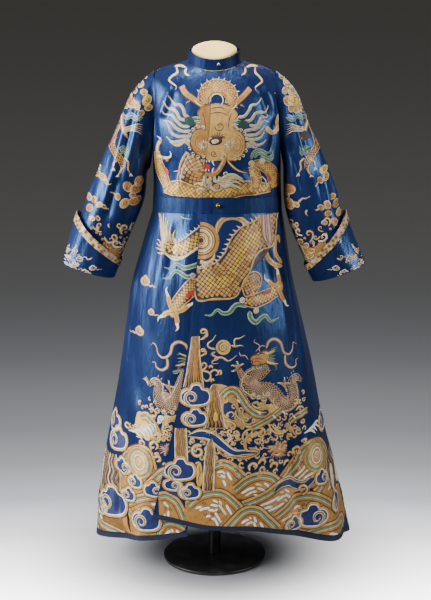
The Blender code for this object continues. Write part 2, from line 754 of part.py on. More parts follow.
def collar_grid():
    """Stand collar from its over end at the front, round the neck, to its under end."""
    ring = neckline_points(360)
    turns = np.unwrap(np.arctan2(ring[:, 1], ring[:, 0]))
    over_end = -90.0 + math.degrees(COLLAR_END_X / COLLAR_FRONT_RADIUS)
    under_end = over_end + 360.0 + math.degrees(COLLAR_UNDERLAP / COLLAR_FRONT_RADIUS)
    grid = []
    for share in (0.0, 0.5, 1.0):
        line = []
        for turn in np.linspace(over_end, under_end, COLLAR_COLUMNS + 1):
            place = np.radians((turn + 90.0) % 360.0 - 90.0)
            seam = np.array([np.interp(place, turns, ring[:, axis], period=2 * math.pi) for axis in range(3)])
            seam[2] += COLLAR_WALL + LIE_GAP
            top = oval_top(turn, COLLAR_TOP_FRONT, COLLAR_TOP_BACK, COLLAR_TOP_SIDE)
            point = seam + (top - seam) * share
            outward = point * np.array([1.0, 1.0, 0.0])
            outward /= np.linalg.norm(outward)
            past = (turn - 360.0 - over_end) / (under_end - over_end - 360.0)
            inset = (COLLAR_WALL + LIE_GAP) * smoothstep(LAP_START + past * COLLAR_LAP_RATE)
            line.append(point - outward * inset)
        grid.append(line)
    return np.array(grid)


def hem_binding_grid(panel):
    """Strip along the hem, made from the panel's last two rows of points and moved out."""
    above, hem = panel[-2], panel[-1]
    rise = above - hem
    share = HEM_BINDING_HEIGHT / np.linalg.norm(rise, axis=1, keepdims=True)
    strip = np.array([hem + rise * share, hem])
    return strip + outward_normals(np.array([above, hem])) * (CLOTH_WALL + TRIM_GAP)


# ---------------------------------------------------------------- solids


def cloth_piece(name, grid, wall, closed, collection, material):
    """Loft through a grid of points, thickened outwards into a wall of even thickness."""
    rows, columns = grid.shape[:2]
    faces = []
    for row in range(rows - 1):
        for place in range(columns if closed else columns - 1):
            nearby = (place + 1) % columns
            faces.append((
                row * columns + place, row * columns + nearby,
                (row + 1) * columns + nearby, (row + 1) * columns + place))
    mesh = bpy.data.meshes.new(name)
    mesh.from_pydata(grid.reshape(-1, 3).tolist(), [], faces)
    mesh.update()
    piece = add_object(name, mesh, collection, material)
    if not faces_outward(grid):
        mesh.flip_normals()
    mesh.shade_smooth()
    thickness = piece.modifiers.new("wall", "SOLIDIFY")
    thickness.thickness = wall
    thickness.offset = 1.0
    thickness.use_even_offset = True
    thickness.use_quality_normals = True
    return piece


def faces_outward(grid):
    """Whether a loft's faces, taken in grid order, point away from the middle of its first row."""
    across = grid[0, 1] - grid[0, 0]
    down = grid[1, 0] - grid[0, 0]
    return float(np.dot(np.cross(across, down), grid[0, 0] - grid[0].mean(axis=0))) > 0


def closed_loft(name, rings, collection, material):
    """Solid through closed rings, with flat ends."""
    count = len(rings[0])
    points = [tuple(point) for ring in rings for point in ring]
    faces = [tuple(range(count))[::-1], tuple(range((len(rings) - 1) * count, len(rings) * count))]
    for row in range(len(rings) - 1):
        for place in range(count):
            nearby = (place + 1) % count
            faces.append((
                row * count + place, row * count + nearby,
                (row + 1) * count + nearby, (row + 1) * count + place))
    mesh = bpy.data.meshes.new(name)
    mesh.from_pydata(points, [], faces)
    mesh.update()
    mesh.shade_smooth()
    return add_object(name, mesh, collection, material)


def turned_piece(name, profile, steps, collection, material):
    """Solid of revolution about +Z from a profile that runs down its outer side."""
    mesh = bpy.data.meshes.new(name)
    edges = [(index, index + 1) for index in range(len(profile) - 1)]
    mesh.from_pydata([(radius, 0.0, height) for radius, height in profile], edges, [])
    piece = add_object(name, mesh, collection, material)
    screw = piece.modifiers.new("turn", "SCREW")
    screw.steps = steps
    screw.render_steps = steps
    screw.use_merge_vertices = True
    screw.merge_threshold = 0.00001
    return piece


def make_torso(collection, material):
    """Dress form: hips, waist, chest, shoulders and neck, following the bodice from inside."""
    front = bodice_controls(BODICE_FRONT, True)
    back = bodice_controls(BODICE_BACK, False)
    last = len(front) - 1
    rings = []
    turns = np.linspace(0.0, 2 * math.pi, TORSO_COLUMNS, endpoint=False) - math.pi / 2
    for row in FORM_HIP_SECTIONS:
        section = dict(zip(FORM_HIP_COLUMNS, row))
        ring = []
        for angle in turns:
            depth = section["front"] if math.sin(angle) < 0 else section["back"]
            x = FORM_LEAN + section["half_width"] * math.cos(angle)
            ring.append((x, depth * math.sin(angle), section["height"]))
        rings.append(np.array(ring))
    share_steps = np.linspace(0.0, 1.0, 24)
    for level in FORM_CHEST_LEVELS:
        points = [bodice_point(front, level, share) for share in share_steps]
        points += [bodice_point(back, level, share) for share in np.linspace(1.0, -1.0, 47)]
        points += [bodice_point(front, level, -share) for share in share_steps[::-1]]
        distinct = [points[0]] + [
            point for before, point in zip(points, points[1:]) if np.linalg.norm(point - before) > 1e-6]
        rings.append(resample(np.array(distinct), TORSO_COLUMNS))
    body = np.array(rings)
    normals = ring_normals(body)
    for row in range(len(FORM_HIP_SECTIONS), len(body)):
        from_ridge = smoothstep((np.abs(body[row][:, 1]) - SHOULDER_SEAT_DEPTH) / SHOULDER_SEAT_DEPTH)
        on_shoulder = (body[row][:, 2] > SHOULDER_SEAT_Z) * (1.0 - from_ridge)
        clearance = FORM_CLEARANCE + (SHOULDER_CLEARANCE - FORM_CLEARANCE) * on_shoulder
        past_seat = (np.abs(body[row][:, 0]) - SHOULDER_SEAT_END) / SHOULDER_SEAT_DEPTH
        clearance += SHOULDER_CLEARANCE * smoothstep(past_seat)
        body[row] -= normals[row] * clearance[:, None]
    outline = body[-1]
    inward = outline * np.array([1.0, 1.0, 0.0])
    inward /= np.linalg.norm(inward, axis=1, keepdims=True)
    root = outline - inward * NECK_ROOT_CLEARANCE
    neck = np.array([
        oval_top(math.degrees(turn), NECK_TOP_FRONT, NECK_TOP_BACK, NECK_TOP_SIDE) for turn in turns])
    centre = neck.mean(axis=0)
    crown = centre + (neck - centre) * NECK_CROWN_SHARE + np.array([0.0, 0.0, NECK_DOME])
    rounded = centre + (neck - centre) * NECK_ROUNDED_SHARE
    rounded[:, 2] += NECK_DOME * NECK_ROUNDED_RISE
    all_rings = list(body[:-1]) + [root, neck, rounded, crown]
    return closed_loft("form_torso", all_rings, collection, material)


def ring_normals(rings):
    """Outward unit normals of a stack of closed rings."""
    along = np.roll(rings, -1, axis=1) - np.roll(rings, 1, axis=1)
    up = np.gradient(rings, axis=0)
    normals = np.cross(along, up)
    return normals / np.linalg.norm(normals, axis=2, keepdims=True)


def make_stand(collection, material):
    pole_bottom = BASE_HEIGHT + SEAM_GAP
    pole_height = FORM_BOTTOM_Z - SEAM_GAP - pole_bottom
    pole_middle = (0.0, 0.0, pole_bottom + pole_height / 2)
    bpy.ops.mesh.primitive_cylinder_add(vertices=40, radius=POLE_RADIUS, depth=pole_height, location=pole_middle)
    pole = bpy.context.active_object
    pole.name = "stand_pole"
    pole.data.name = "stand_pole"
    pole.data.materials.append(material)
    for owner in list(pole.users_collection):
        owner.objects.unlink(pole)
    collection.objects.link(pole)
    profile = (
        (0.0, BASE_HEIGHT),
        (BASE_RADIUS - BASE_BEVEL, BASE_HEIGHT),
        (BASE_RADIUS - BASE_BEVEL * 0.3, BASE_HEIGHT - BASE_BEVEL * 0.3),
        (BASE_RADIUS, BASE_HEIGHT - BASE_BEVEL),
        (BASE_RADIUS, 0.0),
        (0.0, 0.0),
    )
    turned_piece("stand_base", profile, 48, collection, material)


def make_button(name, radius, place, facing, collection, material):
    """Domed shank button turned about its own axis and set to face along a direction."""
    dome = radius * BUTTON_DOME
    shank = radius * BUTTON_SHANK
    profile = [(0.0, dome)]
    for step in range(1, 7):
        angle = math.radians(90.0 - step * 15.0)
        profile.append((radius * math.cos(angle), dome * math.sin(angle)))
    profile += [(radius * BUTTON_BACK, -shank), (0.0, -shank)]
    button = turned_piece(name, profile, 16, collection, material)
    button.rotation_mode = "QUATERNION"
    button.rotation_quaternion = facing.to_track_quat("Z", "Y")
    button.location = place + facing * (shank + SEAM_GAP)
    return button


def make_buttons(collection, brass, silver):
    turn = turn_at_front(WAIST_BUTTON_X, WAIST_SIDE_Z)
    height = waist_bottom(turn) + BAND_HEIGHT / 2
    middle = Vector(ring_point(turn, height))
    along = Vector(ring_point(turn + 1.0, height)) - middle
    facing = along.cross(Vector((0.0, 0.0, 1.0))).normalized()
    place = middle + facing * (BAND_WALL + BUTTON_GAP)
    make_button("waist_button", WAIST_BUTTON_RADIUS, place, facing, collection, brass)
    grid = collar_grid()
    middle = grid[1]
    nearest = int(np.argmin(np.abs(middle[: COLLAR_COLUMNS // 4, 0] - COLLAR_BUTTON_X)))
    along = Vector(middle[nearest + 1] - middle[nearest]).normalized()
    up = Vector(grid[2][nearest] - grid[0][nearest]).normalized()
    facing = along.cross(up).normalized()
    place = Vector(middle[nearest]) + facing * (COLLAR_WALL + BUTTON_GAP)
    make_button("collar_button", COLLAR_BUTTON_RADIUS, place, facing, collection, silver)


def main():
    clear_scene()
    robe = bpy.data.collections.new(COLLECTION_NAME)
    bpy.context.scene.collection.children.link(robe)
    satin = make_material("blue_silk_satin", "satin", 0.38)
    dark_satin = make_material("dark_silk_binding", "satin_dark", 0.45)
    brocade = make_material("gold_brocade", "gold_brocade", 0.5, 0.3)
    linen = make_material("cream_form_cover", "linen", 0.8)
    black = make_material("black_gloss_paint", "black_gloss", 0.12)
    brass = make_material("gilt_brass", "brass", 0.3, 1.0)
    silver = make_material("silvered_metal", "silver", 0.3, 1.0)

    cloth_piece("bodice_front_left", bodice_over_grid(), CLOTH_WALL, False, robe, satin)
    cloth_piece("bodice_front_right", bodice_under_grid(), CLOTH_WALL, False, robe, satin)
    cloth_piece("bodice_back", bodice_back_grid(), CLOTH_WALL, False, robe, satin)
    cloth_piece("skirt_front_left", skirt_over_grid(), CLOTH_WALL, False, robe, satin)
    cloth_piece("skirt_front_right", skirt_under_grid(), CLOTH_WALL, False, robe, satin)
    cloth_piece("skirt_back", skirt_back_grid(), CLOTH_WALL, False, robe, satin)
    cloth_piece("hem_binding_left", hem_binding_grid(skirt_over_grid()), TRIM_WALL, False, robe, dark_satin)
    cloth_piece("hem_binding_right", hem_binding_grid(skirt_under_grid()), TRIM_WALL, False, robe, dark_satin)
    cloth_piece("hem_binding_back", hem_binding_grid(skirt_back_grid()), TRIM_WALL, False, robe, dark_satin)
    for side in ("left", "right"):
        cloth_piece("sleeve_" + side, sleeve_grid(side), CLOTH_WALL, True, robe, satin)
        cloth_piece("cuff_" + side, cuff_grid(side), CLOTH_WALL, True, robe, satin)
        cloth_piece("cuff_band_" + side, cuff_band_grid(side), TRIM_WALL, True, robe, brocade)
    cloth_piece("waistband", waistband_grid(), BAND_WALL, False, robe, satin)
    cloth_piece("collar", collar_grid(), COLLAR_WALL, False, robe, satin)
    make_torso(robe, linen)
    make_stand(robe, black)
    make_buttons(robe, brass, silver)


main()
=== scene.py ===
"""Chinese dragon robe on its dress form: cloth, thread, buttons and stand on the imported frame."""

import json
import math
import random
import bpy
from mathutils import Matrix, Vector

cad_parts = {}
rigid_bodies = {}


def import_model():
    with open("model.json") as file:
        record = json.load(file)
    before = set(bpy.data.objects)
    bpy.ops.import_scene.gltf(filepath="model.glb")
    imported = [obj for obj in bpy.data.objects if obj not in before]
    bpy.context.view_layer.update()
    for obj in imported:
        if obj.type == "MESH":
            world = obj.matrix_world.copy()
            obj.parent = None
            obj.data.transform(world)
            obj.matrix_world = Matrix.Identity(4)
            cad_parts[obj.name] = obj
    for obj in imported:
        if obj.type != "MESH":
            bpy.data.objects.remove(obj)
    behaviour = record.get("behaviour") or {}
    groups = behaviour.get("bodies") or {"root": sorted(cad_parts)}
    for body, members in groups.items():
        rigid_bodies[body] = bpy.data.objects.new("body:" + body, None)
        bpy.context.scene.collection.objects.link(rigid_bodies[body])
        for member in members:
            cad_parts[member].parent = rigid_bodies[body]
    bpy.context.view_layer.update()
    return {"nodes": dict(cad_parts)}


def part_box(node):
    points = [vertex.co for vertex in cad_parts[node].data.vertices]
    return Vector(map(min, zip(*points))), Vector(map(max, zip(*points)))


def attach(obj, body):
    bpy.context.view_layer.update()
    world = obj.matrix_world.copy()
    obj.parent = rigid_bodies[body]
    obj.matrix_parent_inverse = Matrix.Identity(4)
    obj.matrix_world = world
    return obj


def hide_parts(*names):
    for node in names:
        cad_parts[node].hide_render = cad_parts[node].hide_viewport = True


bl_info = {
    "name": "Chinese dragon robe",
    "version": (1, 0, 0),
    "blender": (4, 5, 0),
    "location": "View3D > Sidebar > Robe",
    "description": "Builds an embroidered satin court robe on its dress form",
    "category": "Add Mesh",
}

import bmesh
import bpy
import numpy as np
from bpy.props import FloatProperty, FloatVectorProperty, PointerProperty
from mathutils import Vector
from mathutils.bvhtree import BVHTree
from mathutils.geometry import delaunay_2d_cdt

for leftover in list(bpy.data.objects):
    bpy.data.objects.remove(leftover)
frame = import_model()

MM = 0.001
BODY = "root"
MERGE = 1e-5


def linear(code):
    """The linear colour of an sRGB hex code such as 2c4c78."""
    parts = [int(code[i : i + 2], 16) / 255 for i in (0, 2, 4)]
    return [c / 12.92 if c <= 0.04045 else ((c + 0.055) / 1.055) ** 2.4 for c in parts]


def colour(code, name, description):
    """A colour property with an sRGB default."""
    return FloatVectorProperty(
        name=name,
        description=description,
        subtype="COLOR",
        size=3,
        min=0,
        max=1,
        default=linear(code),
    )


def length(metres, name, description):
    """A length property in metres."""
    return FloatProperty(
        name=name, description=description, unit="LENGTH", precision=4, default=metres
    )


class RobeCloth(bpy.types.PropertyGroup):
    """Sizes and colours of the satin."""

    satin: colour("162046", "Satin", "Warp colour of the blue silk satin")
    satin_shade: colour("10162e", "Satin shade", "Colour of the duller threads in the satin")
    binding: colour("131b34", "Binding", "Colour of the dark binding on the hem")
    brocade: colour("b08c55", "Brocade", "Ground colour of the bands on the cuffs")
    satin_wall: length(1.5 * MM, "Satin wall", "Thickness of the satin with its lining")
    band_wall: length(2.4 * MM, "Waistband wall", "Thickness of the folded waistband")
    collar_wall: length(1.9 * MM, "Collar wall", "Thickness of the stiffened collar")
    trim_wall: length(0.9 * MM, "Trim wall", "Thickness of bindings and cuff bands")
    crease: FloatProperty(
        name="Crease depth",
        description="Share of the full depth of the creases",
        subtype="FACTOR",
        min=0,
        max=2,
        default=2.0,
    )


class RobeThread(bpy.types.PropertyGroup):
    """Colours of the thread and how far it stands up."""

    gold: colour("cda25c", "Gold", "Couched gold thread")
    ochre: colour("b58343", "Ochre", "Darker gold thread")
    bronze: colour("80592f", "Bronze", "Brown outline thread")
    cream: colour("dccdac", "Cream", "Cream floss")
    white: colour("ebe6da", "White", "White floss")
    pink: colour("b88d7e", "Pink", "Pink floss")
    green: colour("5f8a6d", "Green", "Green floss")
    leaf: colour("a9bd93", "Pale green", "Pale green floss")
    pine: colour("1f3b36", "Pine", "Dark green floss")
    red: colour("a8352b", "Red", "Red floss")
    navy: colour("1b2b5e", "Navy", "Navy floss")
    azure: colour("5c86b6", "Azure", "Middle blue floss")
    sky: colour("b6c8d4", "Sky", "Pale blue floss")
    yellow: colour("dfb450", "Yellow", "Yellow floss")
    umber: colour("3b2a26", "Umber", "Dark brown thread round scales and shapes")
    tan: colour("b39070", "Tan", "Faded gold thread")
    relief: length(0.5 * MM, "Relief", "Height of the thread over the satin")


class RobeForm(bpy.types.PropertyGroup):
    """Colours and sizes of the dress form, its stand and the buttons."""

    cover: colour("ffdc7e", "Form cover", "Stretched cotton cover of the form")
    enamel: colour("1f1e1d", "Enamel", "Black enamel of the pole and base")
    gilt: colour("c99a45", "Gilt brass", "Gilt of the waist button")
    silver: colour("b9b9b4", "Silver", "Silvered collar button")
    base_edge: length(2.2 * MM, "Base edge", "Radius of the base's rounded rim")


class RobeStage(bpy.types.PropertyGroup):
    """Floor, light and camera."""

    floor: colour("9a9a9e", "Floor", "Matt pale floor")
    key: FloatProperty(name="Key light", description="Share of the main soft light's power",
                       default=1)
    others: FloatProperty(name="Other lights", description="Share of the other lights' power",
                          default=1)
    lens: FloatProperty(name="Lens", description="Focal length in millimetres", default=93.4)
    distance: length(4.2, "Camera distance", "Distance of the camera in front of the pole")
    height: length(1.843, "Camera height", "Height of the camera over the floor")
    tilt: FloatProperty(
        name="Camera tilt",
        description="Downward tilt of the camera",
        subtype="ANGLE",
        default=math.radians(14.4),
    )


# ---- materials ---------------------------------------------------------------


def add(tree, kind, settings=None, links=None):
    """Adds one node, sets its properties and socket values, and links sockets given as outputs."""
    node = tree.nodes.new("ShaderNode" + kind)
    for name, value in (settings or {}).items():
        setattr(node, name, value)
    for name, value in (links or {}).items():
        if isinstance(value, bpy.types.NodeSocket):
            tree.links.new(value, node.inputs[name])
        else:
            node.inputs[name].default_value = value
    return node


def blank(name):
    """A node material with only the place on the object: material, tree and that place."""
    made = bpy.data.materials.new(name)
    made.use_nodes = True
    tree = made.node_tree
    tree.nodes.clear()
    return made, tree, add(tree, "TexCoord").outputs["Object"]


def rgba(three, factor=1.0):
    """A colour with alpha, made lighter or darker by a factor."""
    return [min(1.0, c * factor) for c in three] + [1.0]


def ramp(tree, factor, stops, smooth=True):
    """A colour ramp over (position, rgba) stops."""
    node = add(tree, "ValToRGB", links={"Fac": factor})
    band = node.color_ramp
    band.interpolation = "EASE" if smooth else "LINEAR"
    while len(band.elements) < len(stops):
        band.elements.new(1.0)
    for element, (place, value) in zip(band.elements, stops):
        element.position = place
        element.color = value
    return node.outputs["Color"]


def noise(tree, place, scale, detail, **more):
    """Noise over a place; a scale of 90 gives patches about 11 mm wide."""
    links = {"Vector": place, "Scale": scale, "Detail": detail, **more}
    return add(tree, "TexNoise", links=links).outputs["Fac"]


def stretched(tree, place, scale):
    """A place scaled differently along x, y and z."""
    return add(tree, "Mapping", links={"Vector": place, "Scale": scale}).outputs[0]


def blend(tree, one, share, other):
    """A share of one value added to another value."""
    links = {0: one, 1: share, 2: other}
    return add(tree, "Math", {"operation": "MULTIPLY_ADD"}, links).outputs[0]


def spread(tree, value, low, high, least, most):
    """A value taken from between low and high to between least and most."""
    links = {0: value, 1: low, 2: high, 3: least, 4: most}
    return add(tree, "MapRange", links=links).outputs[0]


def raised(tree, height, strength, distance, **more):
    """A bump from a height; the distance is in metres."""
    links = {"Height": height, "Strength": strength, "Distance": distance, **more}
    return add(tree, "Bump", links=links).outputs[0]


def coat(tree, tone, bump, **values):
    """The principled surface and the output; socket names have _ for each space."""
    links = {"Base Color": tone, "Normal": bump}
    links.update((name.replace("_", " "), value) for name, value in values.items())
    shader = add(tree, "BsdfPrincipled", links=links)
    add(tree, "OutputMaterial", links={"Surface": shader.outputs[0]})


# Tint of the light that the satin's floats throw back.
SHEEN = (0.19, 0.43, 1.0)


def silk_satin(name, face, shade, gloss=1.0):
    """Blue silk satin, woven with long floats: it holds most of its light in a broad tinted
    sheen, so that it goes from pale to nearly black round each fold; fine slubs along the warp."""
    made, tree, place = blank(name)
    # Slubs 1.2 mm wide, four times the true thread so that they show at this size.
    slubs = noise(tree, stretched(tree, place, (830, 830, 14)), 1.0, 2.0)
    # Slow change of tone, 200 mm across, from uneven dye and age.
    mixed = blend(tree, slubs, 0.5, noise(tree, place, 5.0, 2.0))
    tone = ramp(tree, mixed, [(0.45, rgba(shade, 0.8)), (0.75, rgba(face)),
                              (0.98, rgba(face, 1.3))])
    rough = spread(tree, slubs, 0.3, 0.7, 0.30, 0.38)
    # Float weave: 1.6 mm steps across the warp, drawn five times too coarse so that they show.
    weave = add(tree, "TexVoronoi", {"feature": "F1"},
                {"Vector": stretched(tree, place, (620, 620, 260)), "Scale": 1.0})
    height = blend(tree, slubs, 0.7, weave.outputs["Distance"])
    # Small upright rumples 30 mm wide, between the folds.
    rumple = noise(tree, stretched(tree, place, (34, 34, 6)), 1.0, 3.0, Roughness=0.55)
    soft = raised(tree, rumple, 0.6, 0.006)
    bump = raised(tree, height, 0.25, 0.0004, Normal=soft)
    coat(tree, tone, bump, Roughness=rough, IOR=1.54, Specular_IOR_Level=gloss,
         Specular_Tint=rgba(SHEEN), Sheen_Weight=0.06 * gloss, Sheen_Roughness=0.3,
         Sheen_Tint=rgba(SHEEN), Anisotropic=0.4)
    return made


def folded_binding(name, face):
    """Dark silk binding, folded over an edge: dull, with a faint cross rib."""
    made, tree, place = blank(name)
    rib = noise(tree, place, 420.0, 2.0)
    tone = ramp(tree, rib, [(0.3, rgba(face, 0.7)), (0.7, rgba(face, 1.35))])
    bump = raised(tree, rib, 0.25, 0.0005)
    coat(tree, tone, bump, Roughness=0.55, IOR=1.54, Specular_IOR_Level=0.4, Sheen_Weight=0.05)
    return made


def gilt_brocade(name, face, figure):
    """Narrow woven band with a brocaded figure: dull gold ground, small dark and cream figures."""
    made, tree, place = blank(name)
    # Figures 11 mm apart, cut into 2 mm steps by the weave.
    figures = add(tree, "TexVoronoi", {"feature": "F1"}, {"Vector": place, "Scale": 90.0})
    both = blend(tree, noise(tree, place, 520.0, 1.0), 0.35, figures.outputs["Distance"])
    tone = ramp(tree, both, [(0.36, rgba(figure)), (0.50, rgba(face, 0.6)), (0.66, rgba(face)),
                             (0.90, rgba((0.56, 0.47, 0.33)))])
    bump = raised(tree, both, 0.4, 0.0008)
    coat(tree, tone, bump, Roughness=0.5, Metallic=0.15)
    return made


def stretched_cotton(name, face):
    """Knitted cotton stretched over a padded form: matt, cream, with a fine rib."""
    made, tree, place = blank(name)
    # Ribs 1.5 mm apart, twice as coarse as real ones so that they show.
    rib = add(tree, "TexWave", {"wave_type": "BANDS", "bands_direction": "X"},
              {"Vector": place, "Scale": 105.0, "Distortion": 1.5, "Detail": 1.0})
    clouded = noise(tree, place, 18.0, 3.0)
    tone = ramp(tree, clouded, [(0.25, rgba(face, 0.86)), (0.7, rgba(face))])
    bump = raised(tree, rib.outputs["Fac"], 0.25, 0.0004)
    coat(tree, tone, bump, Roughness=0.85, IOR=1.5, Sheen_Weight=0.2)
    return made


def black_enamel(name, face):
    """Stoved black enamel on steel: near black, half gloss, with slight orange peel and dust."""
    made, tree, place = blank(name)
    peel = noise(tree, place, 240.0, 2.0)
    dust = noise(tree, place, 26.0, 5.0)
    tone = ramp(tree, dust, [(0.45, rgba(face)), (0.8, rgba(face, 2.4))])
    rough = spread(tree, dust, 0.3, 0.75, 0.28, 0.5)
    bump = raised(tree, peel, 0.06, 0.0003)
    coat(tree, tone, bump, Roughness=rough, IOR=1.5)
    return made


def cast_metal(name, face, dark, roughness):
    """Small cast and polished button metal: bright on the dome, dark in the chased lines."""
    made, tree, place = blank(name)
    tarnish = noise(tree, place, 320.0, 4.0)
    tone = ramp(tree, tarnish, [(0.35, rgba(dark)), (0.6, rgba(face))])
    rough = spread(tree, tarnish, 0.3, 0.7, roughness + 0.15, roughness)
    # Chased scales 2.5 mm wide over the dome.
    chased = add(tree, "TexVoronoi", {"feature": "DISTANCE_TO_EDGE"},
                 {"Vector": place, "Scale": 400.0})
    bump = raised(tree, chased.outputs["Distance"], 0.5, 0.0006)
    coat(tree, tone, bump, Metallic=1.0, Roughness=rough)
    return made


def matt_floor(name, face, near, far):
    """Matt studio floor: plain and pale, faded out far from the stand so that it has no edge."""
    made, tree, place = blank(name)
    tone = ramp(tree, noise(tree, place, 3.0, 4.0), [(0.3, rgba(face, 0.96)), (0.7, rgba(face))])
    paint = add(tree, "BsdfPrincipled",
                links={"Base Color": tone, "Roughness": 0.8, "Specular IOR Level": 0.3})
    away = add(tree, "VectorMath", {"operation": "LENGTH"}, {0: place})
    fade = add(tree, "MapRange", {"interpolation_type": "SMOOTHSTEP"},
               {0: away.outputs["Value"], 1: near, 2: far, 3: 0.0, 4: 1.0})
    clear = add(tree, "BsdfTransparent")
    shader = add(tree, "MixShader",
                 links={0: fade.outputs[0], 1: paint.outputs[0], 2: clear.outputs[0]})
    add(tree, "OutputMaterial", links={"Surface": shader.outputs[0]})
    return made


def material(name, maker, *values):
    """The material of that name, made on first use."""
    return bpy.data.materials.get(name) or maker(name, *values)


# ---- cloth -------------------------------------------------------------------

RIM = 3.4 * MM  # faces with a shorter side than this are the rim of a wall
LONGEST = 0.012  # metres of a cell's height before it is cut across
